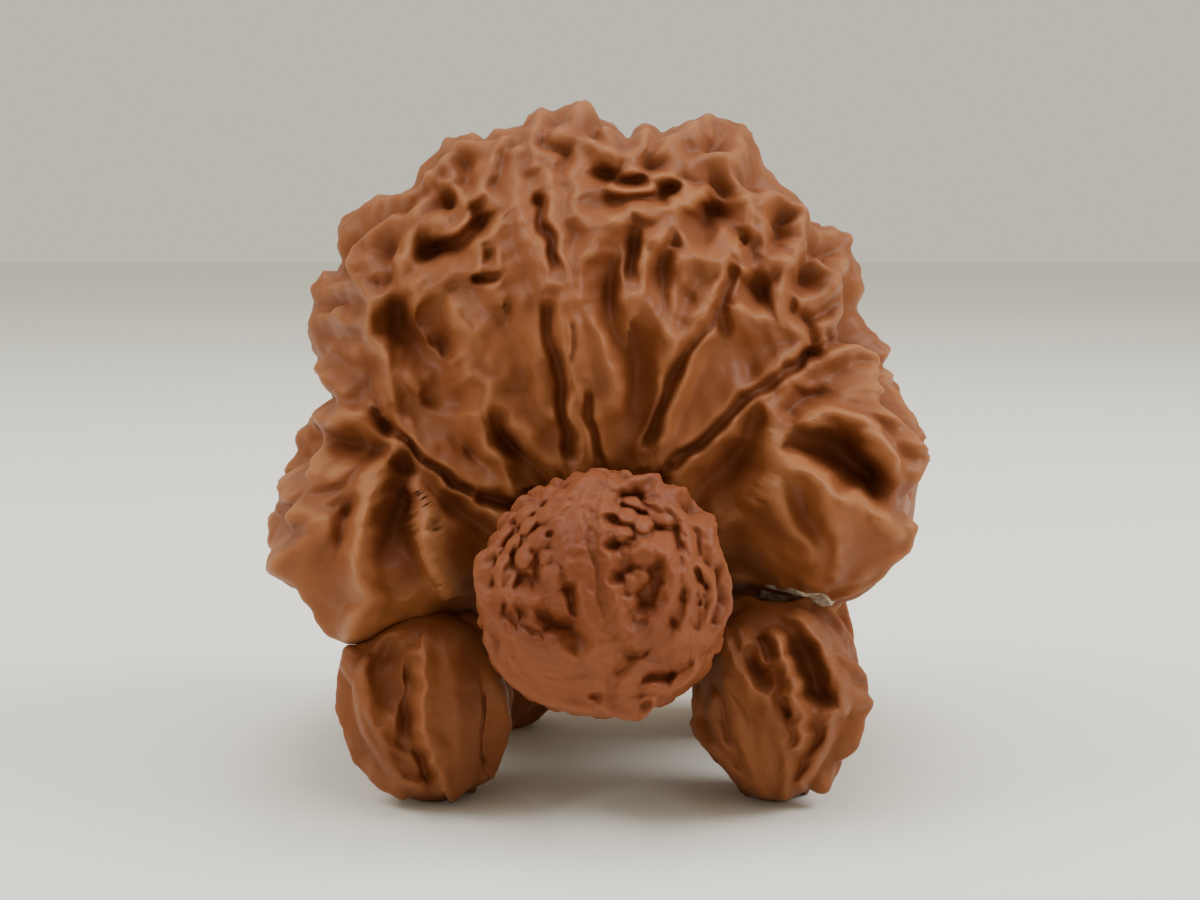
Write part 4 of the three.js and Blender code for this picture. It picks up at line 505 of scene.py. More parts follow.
# Folds and pits
JOIN_POWER = 4              # high powers keep crossing folds apart, low ones run them together
BELL_WIDTH = 1.3            # the rounded part of a fold reaches this much further than its flank
FOLD_MARGIN = 1.4           # a fold counts this far out, in reaches
BODY_ROUNDING = 0.5         # half the width of a rounded crest
SMALL_ROUNDING = 0.35
LONG_PIT = 3                # a pit this many reaches long runs out at its ends
END_SHARE = 0.25            # depth that is left at the ends of a long pit
END_REACH = 1.8             # reaches over which it runs out

# Sides on which the traced relief gives way to cells: how far round from the front, and how low down
BODY_SIDES = (0.06, 0.24)
BODY_UNDERSIDE = (-0.74, -0.6)
HEAD_SIDES = (-0.12, 0.12)
FOOT_SIDES = (-0.15, 0.1)

# Ridges along the borders of the cells
BODY_WANDERS = ((1.2, 2.6), (0.9, 1.3))     # how far and how slowly the borders wander
HEAD_WANDER = (0.35, 0.9)
FOOT_WANDER = (0.5, 1.2)
BODY_STRETCH = [1, 2, 1]    # cells are drawn out to this many times their width
HEAD_STRETCH = [1, 1, 1]
FOOT_STRETCH = [1, 1, 2.6]
BODY_RIDGE = {"rounding": 0.8, "top": 0.9, "width": 3.6}
FOOT_RIDGE = {"rounding": 0.1, "top": 0.3, "width": 1.8}
BODY_RIDGE_HEIGHT = 3.2
BODY_RIDGE_SHARES = (0.85, 0.45)    # even share of its height, and the share that rises and falls
FOOT_RIDGE_HEIGHT = 1.2
BODY_CELL_FLOOR = 0.6       # depth of the cells' floors below the plain form
FOOT_CELL_FLOOR = 0.2
HEAD_PEBBLE_HEIGHT = 0.75
HEAD_PEBBLE_SIDES = (-0.05, 1.3)
HEAD_PEBBLE_FLOOR = 0.1
HEAD_UNTRACED = (1.1, 0.3)  # traced heights at which its plain pebbles are gone, and are full
HEAD_UPPER_HALF = (10.0, 19.0)      # heights above the floor between which they set in
RIM_SIDES = (2.3, 2.0)      # angles from straight up between which the traced outline stops counting
RIM_REACH = (-0.5, -0.05)   # how far to the back it counts
RIM_CUT = 1.6               # depth of the cells behind the rim

# Small knobs over the folds, and what the finish reads of the relief for its painted highlights and
# painted shade
WANDER = 0.22               # how far the folds wander, in knob sizes
NEAR_ROUNDS = 12            # rounds that even out the relief, to tell crests
FAR_ROUNDS = 60             # further rounds, to tell hollows
SHELTER_ROUNDS = 6
SHELTER_RAYS = 14           # rays that tell how sheltered each point is
SHELTER_REACH = 3.0         # their length, in knob sizes
SHELTER_START = 0.05        # height above the skin at which they start
SHELTER_SEED = 7


def smooth(low, high, x):
    """0 below low, 1 above high, with soft ends."""
    t = np.clip((x - low) / (high - low), 0, 1)
    return t * t * (3 - 2 * t)


def wave(p, scale, seed):
    """Slow waves from a few sines, for crests that wander."""
    x, y, z = p.T
    a = np.sin((x + 0.6 * y - 0.8 * z) / scale + seed)
    b = np.sin((-0.7 * x + 1.1 * y + 0.5 * z) / scale + seed + 2.1)
    c = np.sin((0.4 * x - 0.9 * y + 1.2 * z) / scale + seed + 4.2)
    return (a + b + c) / 3


def bumps(points, size, seed):
    """Soft noise from about -1 to 1, whose bumps measure about size mm."""
    return np.array([noise.noise(Vector(p)) for p in points / size + seed])


def scatter(index, factor, seed, seed_factor, size):
    """A scatter value from 0 to 1 that is the same on every run."""
    s = np.sin(index * factor + seed * seed_factor) * size
    return s - np.floor(s)


def unit(vectors):
    return vectors / np.linalg.norm(vectors, axis=-1)[..., None]


def pixel_rays(pixels):
    """The ways in which the eye looks at the pixels."""
    u, v = pixels.T
    across = ((u - PICTURE[0] / 2) / FOCAL_PX)[:, None] * ACROSS
    above = ((PICTURE[1] / 2 - v) / FOCAL_PX)[:, None] * ABOVE
    return unit(AHEAD + across + above)


def pictured(points):
    """The pixels at which the eye sees the points."""
    arm = points - EYE
    size = FOCAL_PX / (arm @ AHEAD)
    u = PICTURE[0] / 2 + size * (arm @ ACROSS)
    v = PICTURE[1] / 2 - size * (arm @ ABOVE)
    return np.stack([u, v], -1)


class Form:
    """A nut's plain form: field is below zero inside, and a ray from the middle meets its skin once."""

    def __init__(self, settings):
        self.middle = np.array(settings["middle"], float)
        self.blend = settings["blend"]
        self.blobs = [(np.array(c, float), np.array(r, float)) for c, r in settings["blobs"]]

    def field(self, p):
        total = 0
        for middle, radii in self.blobs:
            q = (p - middle) / radii
            k0 = np.sqrt((q * q).sum(-1)) + 1e-9
            k1 = np.sqrt(((q / radii) ** 2).sum(-1)) + 1e-9
            total = total + np.exp(-k0 * (k0 - 1) / k1 / self.blend)
        return -self.blend * np.log(total)

    def radius(self, directions):
        low = np.zeros(len(directions))
        high = np.full(len(directions), FORM_REACH)
        for _ in range(FORM_ROUNDS):
            mid = (low + high) / 2
            inside = self.field(self.point(directions, mid)) < 0
            low = np.where(inside, mid, low)
            high = np.where(inside, high, mid)
        return (low + high) / 2

    def point(self, directions, radius):
        return self.middle + directions * radius[:, None]

    def way(self, points, directions):
        """The way in which relief rises: to the eye where the skin faces it, else from the middle."""
        steps = np.eye(3) * SLOPE_STEP
        slope = np.stack([self.field(points + step) - self.field(points - step) for step in steps], -1)
        to_eye = unit(EYE - points)
        facing = smooth(*FACING, (unit(slope) * to_eye).sum(-1))[:, None]
        return unit(to_eye * facing + directions * (1 - facing))

    def seen(self, pixels):
        """The directions from the middle to what the pixels show on the plain form."""
        looks = pixel_rays(pixels)
        steps = np.arange(*FIGURE_RANGE)
        fields = self.field(EYE + looks[:, None] * steps[:, None])
        hit = np.where((fields < 0).any(1), np.argmax(fields < 0, 1), np.argmin(fields, 1))
        far = steps[hit]
        near = far - 1
        for _ in range(SEEN_ROUNDS):
            mid = (near + far) / 2
            inside = self.field(EYE + looks * mid[:, None]) < 0
            far = np.where(inside, mid, far)
            near = np.where(inside, near, mid)
        return unit(EYE + looks * far[:, None] - self.middle)

    def lay(self, pixels, lifts):
        """The points of the plain form that are seen at the pixels once raised by their lifts."""
        aims = pixels.copy()
        for _ in range(LAY_ROUNDS):
            directions = self.seen(aims)
            points = self.point(directions, self.radius(directions))
            raised = points + self.way(points, directions) * lifts[:, None]
            error = pixels - pictured(raised)
            aims = aims + np.clip(error, -LAY_LIMIT_PX, LAY_LIMIT_PX) * LAY_SHARE
        return points


def nearest(points, outward, line):
    """Distance of each point to a laid line, and whether the point is on the line's left."""
    best = np.full(len(points), np.inf)
    left = np.ones(len(points), bool)
    if len(line) == 1:
        return np.linalg.norm(points - line[0], axis=1), left
    for start, end in zip(line[:-1], line[1:]):
        run = end - start
        t = np.clip((points - start) @ run / (run @ run + 1e-12), 0, 1)
        w = points - start - t[:, None] * run
        distance = np.sqrt((w * w).sum(-1))
        nearer = distance < best
        best = np.where(nearer, distance, best)
        left = np.where(nearer, (np.cross(run, w) * outward).sum(-1) > 0, left)
    return best, left


def within(points, line, reach):
    inside = (points > line.min(0) - reach) & (points < line.max(0) + reach)
    return np.nonzero(inside.all(-1))[0]


def laid(form, traced, sign=1):
    """Traced lines laid on a form at their own height, each followed by its other values."""
    if not traced:
        return []
    pixels = np.array([pixel for _, line, *_ in traced for pixel in line], float)
    lifts = [sign * values[0] for _, line, *values in traced for _ in line]
    places = form.lay(pixels, np.array(lifts, float))
    ends = np.cumsum([len(line) for _, line, *_ in traced])[:-1]
    return [(line, *values) for line, (_, _, *values) in zip(np.split(places, ends), traced)]


def fold_height(points, outward, folds, rounding):
    """Height of the folds to the JOIN_POWER, each rising to a rounded crest."""
    total = np.zeros(len(points))
    for line, height, reach_left, reach_right in folds:
        some = within(points, line, max(reach_left, reach_right) * FOLD_MARGIN)
        distance, left = nearest(points[some], outward[some], line)
        soft = np.hypot(distance, rounding) - rounding
        d = soft / np.where(left, reach_left, reach_right)
        flank = np.clip(1 - d, 0, 1) ** 2
        bell = np.clip(1 - (d / BELL_WIDTH) ** 2, 0, 1) ** 2
        total[some] += (height * (flank + bell) / 2) ** JOIN_POWER
    return total


def bowl(points, outward, lines):
    """Depth of pits, or height of swells: the deepest counts, and long ones run out at their ends."""
    total = np.zeros(len(points))
    for line, depth, reach in lines:
        some = within(points, line, reach)
        distance, _ = nearest(points[some], outward[some], line)
        x = np.clip(1 - (distance / reach) ** 2, 0, 1)
        share = x * x
        if np.linalg.norm(line[-1] - line[0]) > LONG_PIT * reach:
            to_ends = [np.linalg.norm(points[some] - end, axis=1) for end in (line[0], line[-1])]
            share *= END_SHARE + (1 - END_SHARE) * smooth(0, END_REACH * reach, np.minimum(*to_ends))
        total[some] = np.maximum(total[some], depth * share)
    return total


def pebble_height(points, pebbles, height):
    height = height.copy()
    for middle, rise, reach in pebbles:
        some = within(points, middle, reach)
        distance = np.linalg.norm(points[some] - middle[0], axis=1)
        x = np.clip(1 - (distance / reach) ** 2, 0, 1)
        height[some] = np.maximum(height[some], rise * np.sqrt(x))
    return height


def cell_middles(form, count, seed, shake):
    """Middles of the cells that give the unseen sides their relief, spread evenly and then shaken."""
    i = np.arange(count)
    y = 1 - 2 * (i + 0.5) / count
    r = np.sqrt(1 - y * y)
    a = i * pi * (3 - sqrt(5))
    d = np.stack([r * np.cos(a), y, r * np.sin(a)], -1)
    d[:, 0] += (scatter(i, 12.9898, seed, 78.233, 43758.5453) - 0.5) * shake
    d[:, 1] += (scatter(i, 39.3468, seed, 11.135, 24634.6345) - 0.5) * shake
    d[:, 2] += (scatter(i, 73.156, seed, 52.235, 35412.7614) - 0.5) * shake
    d /= np.linalg.norm(d, axis=1)[:, None]
    return form.point(d, form.radius(d))


def border_gap(points, middles, stretch):
    """How much nearer the nearest cell middle is than the next: zero on the border of two cells."""
    first = np.full(len(points), np.inf)
    second = np.full(len(points), np.inf)
    for middle in middles:
        d = np.sqrt((((points - middle) / stretch) ** 2).sum(-1))
        second = np.minimum(np.maximum(first, d), second)
        first = np.minimum(first, d)
    return second - first


def ridge(gap, rounding, top, width):
    """Runs from 1 on the border of two cells down to 0 at the ridge's width, with a rounded top."""
    return np.clip(1 - (np.sqrt(gap * gap + rounding) - top) / width, 0, 1)


def wandered(p, amount, scale):
    """The points moved about a little, so that the cell borders wander."""
    moves = [wave(p, scale, 1), wave(p, scale * 1.1, 5), wave(p, scale * 0.92, 9)]
    return p + amount * np.stack(moves, -1)


def outline_rows(form):
    """Height that the traced outline asks for, by the angle round the line of sight."""
    rows = []
    for look in pixel_rays(np.array(BODY_OUTLINE, float)):
        arm = EYE + look * (form.middle[1] - RIM_BACK - EYE[1]) / look[1] - form.middle
        reach = np.linalg.norm(arm)
        rows.append((atan2(-arm[0], arm[2]), reach - form.radius(arm[None] / reach)[0]))
    return np.array(sorted(rows)).T


def outline_height(rows, angle):
    angles, heights = rows
    k = np.clip(np.searchsorted(angles, angle) - 1, 0, len(angles) - 2)
    t = np.clip((angle - angles[k]) / (angles[k + 1] - angles[k]), 0, 1)
    t = t * t * (3 - 2 * t)
    return heights[k] * (1 - t) + heights[k + 1] * t


def body_relief(form):
    folds = laid(form, BODY_FOLDS)
    swells = laid(form, BODY_SWELLS)
    pits = laid(form, BODY_PITS, -1)
    middles = cell_middles(form, BODY_CELLS, 3, 0.1)
    rows = outline_rows(form)

    def relief(p, d):
        seen = smooth(*BODY_SIDES, -d[:, 1]) * smooth(*BODY_UNDERSIDE, d[:, 2])
        raised = fold_height(p, d, folds, BODY_ROUNDING) + bowl(p, d, swells) ** JOIN_POWER
        front = raised ** (1 / JOIN_POWER) - bowl(p, d, pits)
        front = front + 0.2 * wave(p, 0.9, 2)
        # Unseen sides: ridges of uneven height along the borders of the cells
        borders = p
        for amount, scale in BODY_WANDERS:
            borders = wandered(borders, amount, scale)
        x = ridge(border_gap(borders, middles, BODY_STRETCH), **BODY_RIDGE)
        even, uneven = BODY_RIDGE_SHARES
        cells = BODY_RIDGE_HEIGHT * x * x * (even + uneven * wave(p, 2.8, 7)) - BODY_CELL_FLOOR
        # Rim: the height that brings the skin out to the traced outline, and the cells cut in behind it
        angle = np.arctan2(-d[:, 0], d[:, 2])
        rim = smooth(*RIM_SIDES, abs(angle)) * smooth(*RIM_REACH, -d[:, 1])
        ribs = outline_height(rows, angle) - RIM_CUT * (1 - x * x) * smooth(0, 0.3, d[:, 1])
        rear = cells * (1 - rim) + ribs * rim
        return front * seen + rear * (1 - seen)

    return relief


def head_relief(form):
    folds = laid(form, HEAD_FOLDS)
    pits = laid(form, HEAD_PITS, -1)
    pebbles = laid(form, [(None, [(u, v)], rise, reach) for u, v, reach, rise in HEAD_PEBBLES])
    middles = cell_middles(form, HEAD_CELLS, 5, 0.12)

    def relief(p, d):
        seen = smooth(*HEAD_SIDES, -d[:, 1])
        raised = fold_height(p, d, folds, SMALL_ROUNDING) ** (1 / JOIN_POWER)
        traced = pebble_height(p, pebbles, raised)
        gap = border_gap(wandered(p, *HEAD_WANDER), middles, HEAD_STRETCH)
        rear = HEAD_PEBBLE_HEIGHT * np.sqrt(smooth(*HEAD_PEBBLE_SIDES, gap)) - HEAD_PEBBLE_FLOOR
        # Where nothing was traced, the upper half is pebbled by the same cells
        between = smooth(*HEAD_UNTRACED, traced) * smooth(*HEAD_UPPER_HALF, p[:, 2])
        front = traced - bowl(p, d, pits) + (rear - 0.4) * between
        return front * seen + rear * (1 - seen)

    return relief


def foot_relief(form, place, seed):
    folds = laid(form, FOOT_FOLDS.get(place, []))
    pits = laid(form, FOOT_PITS.get(place, []), -1)
    middles = cell_middles(form, FOOT_CELLS, seed, 0.15)

    def relief(p, d):
        seen = smooth(*FOOT_SIDES, -d[:, 1]) if folds else 0
        front = fold_height(p, d, folds, SMALL_ROUNDING) ** (1 / JOIN_POWER) - bowl(p, d, pits)
        x = ridge(border_gap(wandered(p, *FOOT_WANDER), middles, FOOT_STRETCH), **FOOT_RIDGE)
        rear = FOOT_RIDGE_HEIGHT * x * x - FOOT_CELL_FLOOR
        return front * seen + rear * (1 - seen)

    return relief


SURFACES = {}       # the finished surface of each nut, which its neighbours keep clear of


class Nut:
    """One nut: its plain form and the relief on it."""

    def __init__(self, form, relief, knobs):
        self.form = form
        self.relief = relief
        self.knobs = knobs      # size of the small knobs that break up its folds, in mm

    def skin(self, directions):
        """Points of the finished skin, and the height of the relief in them."""
        place = self.form.point(directions, self.form.radius(directions))
        wander = np.stack([bumps(place, self.knobs, seed) for seed in (3.1, 17.4, 31.9)], -1)
        height = self.relief(place + wander * self.knobs * WANDER, directions)
        # Knobs of three sizes, stronger the higher the fold is
        knobbly = 0.2 + 0.7 * smooth(0.5, 2.2, height / self.knobs * 1.9)
        small = 0.14 * height * bumps(place, self.knobs * 0.8, 51.2)
        small += 0.08 * self.knobs * bumps(place, self.knobs, 67.7)
        small += 0.05 * self.knobs * bumps(place, self.knobs * 0.45, 83.3)
        height += small * knobbly
        return place + self.form.way(place, directions) * height[:, None], height

    def clear_of(self, points, tree):
        """Draws the points that lie in another piece straight back towards the middle."""
        arm = points - self.form.middle
        reach = np.linalg.norm(arm, axis=1)
        start = Vector((self.form.middle + CENTRE_SHIFT) * MM)
        for i, way in enumerate(unit(arm)):
            place = tree.ray_cast(start, Vector(way), (reach[i] + GLUE_GAP) * MM)[0]
            if place is not None:
                reach[i] = (place - start).length / MM - GLUE_GAP
        return self.form.middle + unit(arm) * reach[:, None]


def fine_ball(cuts, lean):
    """A ball of evenly cut squares, with more of them on the side towards the viewer."""
    ball = bmesh.new()
    bmesh.ops.create_cube(ball, size=2)
    bmesh.ops.subdivide_edges(ball, edges=ball.edges, cuts=cuts, use_grid_fill=True)
    corners = np.array([v.co for v in ball.verts])
    directions = np.tan(corners * pi / 4)
    directions /= np.linalg.norm(directions, axis=1)[:, None]
    directions[:, 1] -= lean
    directions /= np.linalg.norm(directions, axis=1)[:, None]
    return ball, directions


def spread(values, links, rounds):
    """Values evened out along the mesh's edges, for telling crests from hollows."""
    a, b = links.T
    count = np.bincount(links.ravel(), minlength=len(values))
    for _ in range(rounds):
        total = np.bincount(a, values[b], len(values)) + np.bincount(b, values[a], len(values))
        values = (values + total / count) / 2
    return values


def shelter(ball, tree, reach):
    """Share of the open side of each point that the piece's own folds hide within reach: the mask of
    the painted shade.
    """
    random = np.random.default_rng(SHELTER_SEED)
    normals = np.array([vert.normal for vert in ball.verts])
    starts = np.array([vert.co for vert in ball.verts]) + normals * SHELTER_START * MM
    hidden = np.zeros(len(starts))
    rays = SHELTER_RAYS
    for _ in range(rays):
        ways = random.normal(size=normals.shape)
        ways = normals + ways / np.linalg.norm(ways, axis=1)[:, None]
        for i, (start, way) in enumerate(zip(starts, ways)):
            if tree.ray_cast(Vector(start), Vector(way), reach)[0] is not None:
                hidden[i] += 1
    return hidden / rays


def nut_piece(name, node, nut, cuts, lean, neighbours=()):
    """Makes the fine mesh of a nut, in place of its CAD node, clear of the neighbours named."""
    ball, directions = fine_ball(cuts, lean)
    points, height = nut.skin(directions)
    for other in neighbours:
        points = nut.clear_of(points, SURFACES[other])
    points = points + CENTRE_SHIFT
    points[:, 2] = np.maximum(points[:, 2], 0)
    for vert, co in zip(ball.verts, points * MM):
        vert.co = co
    bmesh.ops.recalc_face_normals(ball, faces=ball.faces)
    for face in ball.faces:
        face.smooth = True
    ball.normal_update()
    SURFACES[name] = BVHTree.FromBMesh(ball)
    sheltered = shelter(ball, SURFACES[name], nut.knobs * SHELTER_REACH * MM)
    mesh = bpy.data.meshes.new(name)
    ball.to_mesh(mesh)
    ball.free()
    links = np.empty(len(mesh.edges) * 2, int)
    mesh.edges.foreach_get("vertices", links)
    links = links.reshape(-1, 2)
    near = spread(height, links, NEAR_ROUNDS)
    far = spread(near, links, FAR_ROUNDS)
    sheltered = spread(sheltered, links, SHELTER_ROUNDS)
    # crest and hollow set the painted highlight, and hollow and shelter set the painted shade
    for title, values in (("crest", height - near), ("hollow", far - near), ("shelter", sheltered)):
        mesh.attributes.new(title, "FLOAT", "POINT").data.foreach_set("value", values)
    piece = bpy.data.objects.new(name, mesh)
    bpy.context.scene.collection.objects.link(piece)
    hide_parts(node)
    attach(piece, "root")
    return piece


class Value:
    """A node socket that can stand in an expression: each operation adds its Math node."""

    def __init__(self, finish, socket):
        self.finish = finish
        self.socket = socket

    def math(self, operation, first, second):
        return self.finish.node("ShaderNodeMath", {"operation": operation}, {0: first, 1: second})

    def __add__(self, other):
        return self.math("ADD", self, other)

    def __radd__(self, other):
        return self.math("ADD", other, self)

    def __sub__(self, other):
        return self.math("SUBTRACT", self, other)

    def __rsub__(self, other):
        return self.math("SUBTRACT", other, self)

    def __mul__(self, other):
        return self.math("MULTIPLY", self, other)

    def __rmul__(self, other):
        return self.math("MULTIPLY", other, self)

    def between(self, low, high):
        """0 at low, 1 at high and kept between them, with soft ends."""
        settings = {"interpolation_type": "SMOOTHSTEP"}
        values = {"Value": self, "From Min": low, "From Max": high}
        return self.finish.node("ShaderNodeMapRange", settings, values)


class Finish:
    """A node material for one of the figure's surfaces."""

    def __init__(self, name):
        self.material = bpy.data.materials.new(name)
        self.material.use_nodes = True
        self.tree = self.material.node_tree
        self.tree.nodes.clear()

    def node(self, kind, settings, values, output=0):
        """Adds a node: its settings are set first, and then the values or links of its sockets."""
        made = self.tree.nodes.new(kind)
        for key, setting in settings.items():
            setattr(made, key, setting)
        for key, value in values.items():
            if isinstance(value, Value):
                self.tree.links.new(value.socket, made.inputs[key])
            else:
                made.inputs[key].default_value = value
        return Value(self, made.outputs[output])

    def mix(self, share, first, second, blend="MIX"):
        """Mixes two colours: A and B of a colour Mix node are its sockets 6 and 7."""
        settings = {"data_type": "RGBA", "blend_type": blend}
        return self.node("ShaderNodeMix", settings, {0: share, 6: first, 7: second}, 2)

    def attribute(self, name):
        return self.node("ShaderNodeAttribute", {"attribute_name": name}, {}, "Fac")

    def place(self):
        return self.node("ShaderNodeTexCoord", {}, {}, "Object")

    def noise(self, size, detail=3.0, roughness=0.5, distortion=0.0, place=None):
        """Noise whose blots measure about size mm."""
        values = {"Vector": place or self.place(), "Scale": 1 / (size * MM), "Detail": detail,
                  "Roughness": roughness, "Distortion": distortion}
        return self.node("ShaderNodeTexNoise", {}, values, "Fac")

    def bump(self, height, distance, strength, below=None):
        values = {"Height": height, "Distance": distance * MM, "Strength": strength}
        if below:
            values["Normal"] = below
        return self.node("ShaderNodeBump", {}, values)

    def shader(self, values):
        surface = self.node("ShaderNodeBsdfPrincipled", {}, values)
        self.node_out(surface)

    def node_out(self, surface):
        out = self.tree.nodes.new("ShaderNodeOutputMaterial")
        self.tree.links.new(surface.socket, out.inputs["Surface"])


# The head is redder and darker than the body, and the feet are darker
SHELL_TINTS = {
    "body_shell": (1, 1, 1),
    "head_shell": (0.89, 0.80, 0.88),
    "foot_shell": (0.92, 0.92, 0.95),
}


def colour(value):
    return (*value, 1.0)


def shell_finish(name, look):
    """Polished nutshell: tan crests that are a painted highlight, and painted shade that darkens the
    hollows.
    """
    finish = Finish(name)
    crests, ground, ground_dark, hollows = (
        colour(tuple(part * share for part, share in zip(tone, SHELL_TINTS[name])))
        for tone in (look.crest, look.ground, look.ground_dark, look.hollow))
    crest = finish.attribute("crest")
    hollow = finish.attribute("hollow")
    blots = finish.noise(5.0, 2.0)
    grain = finish.noise(0.5, 4.0, 0.6)
    ground = finish.mix(blots.between(0.35, 0.65), ground, ground_dark)
    # Painted highlight: raised crests and broad ridges are lightened towards the crest colour
    painted_highlight = (crest - hollow * 0.2 + (grain - 0.5) * 0.08).between(0.0, look.crest_reach)
    tone = finish.mix(painted_highlight, ground, crests)
    # Painted shade: sheltered and hollow places are darkened towards the hollow colour
    painted_shade = finish.attribute("shelter") + hollow * 0.22 + (grain - 0.5) * 0.12
    painted_shade = painted_shade.between(0.1, look.hollow_reach)
    tone = finish.mix(painted_shade, tone, hollows)
    specks = grain.between(0.62, 0.75) * 0.35
    tone = finish.mix(specks, tone, hollows)
    rough = look.roughness + (grain - 0.5) * 0.12 + painted_shade * 0.12
    pores = finish.bump(finish.noise(0.35, 4.0, 0.6), 0.05, 0.35)
    skin = finish.bump(finish.noise(1.4, 3.0, 0.5, 0.6), 0.16, 0.5, pores)
    finish.shader({
        "Base Color": tone,
        "Roughness": rough,
        "Normal": skin,
        "IOR": 1.45,
        "Specular IOR Level": 0.14,
        "Subsurface Weight": look.translucency,
        "Subsurface Radius": (1.0, 0.35, 0.15),
        "Subsurface Scale": 1.2 * MM,
        "Coat Weight": 0.06,
        "Coat Roughness": 0.3,
    })
    return finish.material


def glue_finish(name):
    """Hardened clear glue: greyish brown where the shell shows through, with small bubbles."""
    finish = Finish(name)
    blots = finish.noise(0.8, 3.0)
    tone = finish.mix(blots.between(0.4, 0.65), (0.34, 0.25, 0.17, 1), (0.52, 0.43, 0.33, 1))
    skin = finish.bump(finish.noise(0.5, 2.0), 0.08, 0.4)
    finish.shader({"Base Color": tone, "Roughness": 0.22 + blots * 0.1, "Normal": skin,
                   "Subsurface Weight": 0.2, "Subsurface Scale": 0.8 * MM})
    return finish.material


def floor_finish(name, tone):
    """Plain pale studio paper."""
    finish = Finish(name)
    blots = finish.noise(60.0, 2.0)
    shade = finish.mix(blots, colour(tone), colour(tuple(0.97 * c for c in tone)))
    tooth = finish.bump(finish.noise(0.4, 2.0), 0.05, 0.2)
    finish.shader({"Base Color": shade, "Roughness": 0.85 + blots * 0.05, "Normal": tooth})
    return finish.material


class ShellLook(bpy.types.PropertyGroup):
    """Colours and polish of a nutshell."""

    # The crest colour is a painted highlight on the raised folds
    crest: bpy.props.FloatVectorProperty(
        name="Crests", description="Colour of the worn crests", subtype="COLOR",
        default=(0.305, 0.117, 0.044), min=0, max=1)
    ground: bpy.props.FloatVectorProperty(
        name="Ground", description="Colour of the open shell", subtype="COLOR",
        default=(0.240, 0.077, 0.025), min=0, max=1)
    ground_dark: bpy.props.FloatVectorProperty(
        name="Ground, darker blots", description="Colour of the broad darker blots", subtype="COLOR",
        default=(0.200, 0.060, 0.019), min=0, max=1)
    # The hollow colour is painted shade, laid where the folds shelter the skin
    hollow: bpy.props.FloatVectorProperty(
        name="Hollows", description="Colour deep in the hollows", subtype="COLOR",
        default=(0.175, 0.048, 0.017), min=0, max=1)
    roughness: bpy.props.FloatProperty(
        name="Roughness", description="Roughness of the polished shell", default=0.5, min=0.05, max=1)
    translucency: bpy.props.FloatProperty(
        name="Translucency", description="Share of light that passes through the shell's skin",
        default=0.2, min=0, max=1)
    # Crest reach sets the rise at which the painted highlight is full
    crest_reach: bpy.props.FloatProperty(
        name="Crest reach", description="Rise of a crest over the skin around that shows full colour",
        default=0.6, min=0.01, max=3)
    # Hollow reach sets how sheltered a place must be to get the full painted shade
    hollow_reach: bpy.props.FloatProperty(
        name="Hollow reach", description="How sheltered a place is that shows the full hollow colour",
        default=0.85, min=0.25, max=2)


class FigureSizes(bpy.types.PropertyGroup):
    """Fineness of the meshes."""

    body_cuts: bpy.props.IntProperty(
        name="Body cuts", description="Cuts along each side of the ball that the body is made from",
        default=127, min=15, max=127)
    head_cuts: bpy.props.IntProperty(
        name="Head cuts", description="Cuts along each side of the ball that the head is made from",
        default=95, min=15, max=127)
    foot_cuts: bpy.props.IntProperty(
        name="Foot cuts", description="Cuts along each side of the ball that a foot is made from",
        default=63, min=15, max=127)
    lean: bpy.props.FloatProperty(
        name="Lean", description="Share of the fineness that is moved to the front",
        default=0.3, min=0, max=0.6)


class StageLook(bpy.types.PropertyGroup):
    """Floor, lights and backdrop."""

    floor: bpy.props.FloatVectorProperty(
        name="Floor", description="Colour of the floor",
        subtype="COLOR", default=(0.86, 0.855, 0.78), min=0, max=1)
    reach: bpy.props.FloatProperty(
        name="Floor reach", description="Half of the floor's width",
        unit="LENGTH", default=1.5, min=0.2)
    key_power: bpy.props.FloatProperty(
        name="Key light", description="Power of the light above on the left",
        unit="POWER", default=1.3, min=0)
    side_power: bpy.props.FloatProperty(
        name="Side light", description="Power of the light on the right",
        unit="POWER", default=2.0, min=0)
    fill_power: bpy.props.FloatProperty(
        name="Overhead light", description="Power of the light straight above",
        unit="POWER", default=2.0, min=0)
    sky: bpy.props.FloatProperty(
        name="Surroundings", description="Strength of the even light all round", default=0.72, min=0)


class WALNUT_OT_body(bpy.types.Operator):
    """Make the big nut with its seam, folds and two lower lobes"""

    bl_idname = "walnut.body"
    bl_label = "Body nut"

    def execute(self, context):
        sizes = context.scene.walnut_sizes
        piece = nut_piece("body_shell", "body_nut", BODY_NUT, sizes.body_cuts, sizes.lean)
        piece.data.materials.append(shell_finish("body_shell", context.scene.walnut_body_look))
        return {"FINISHED"}


class WALNUT_OT_head(bpy.types.Operator):
    """Make the small pebbled nut that is the head"""

    bl_idname = "walnut.head"
    bl_label = "Head nut"

    def execute(self, context):
        sizes = context.scene.walnut_sizes
        piece = nut_piece("head_shell", "head_nut", HEAD_NUT,
                          sizes.head_cuts, sizes.lean, ["body_shell"])
        piece.data.materials.append(shell_finish("head_shell", context.scene.walnut_head_look))
        return {"FINISHED"}


class WALNUT_OT_feet(bpy.types.Operator):
    """Make the four small nuts that are the feet"""

    bl_idname = "walnut.feet"
    bl_label = "Foot nuts"

    def execute(self, context):
        sizes = context.scene.walnut_sizes
        finish = shell_finish("foot_shell", context.scene.walnut_foot_look)
        for place, nut in FOOT_NUTS.items():
            piece = nut_piece(f"foot_shell_{place}", f"foot_{place}", nut,
                              sizes.foot_cuts, sizes.lean, ["body_shell", "head_shell"])
            piece.data.materials.append(finish)
        return {"FINISHED"}


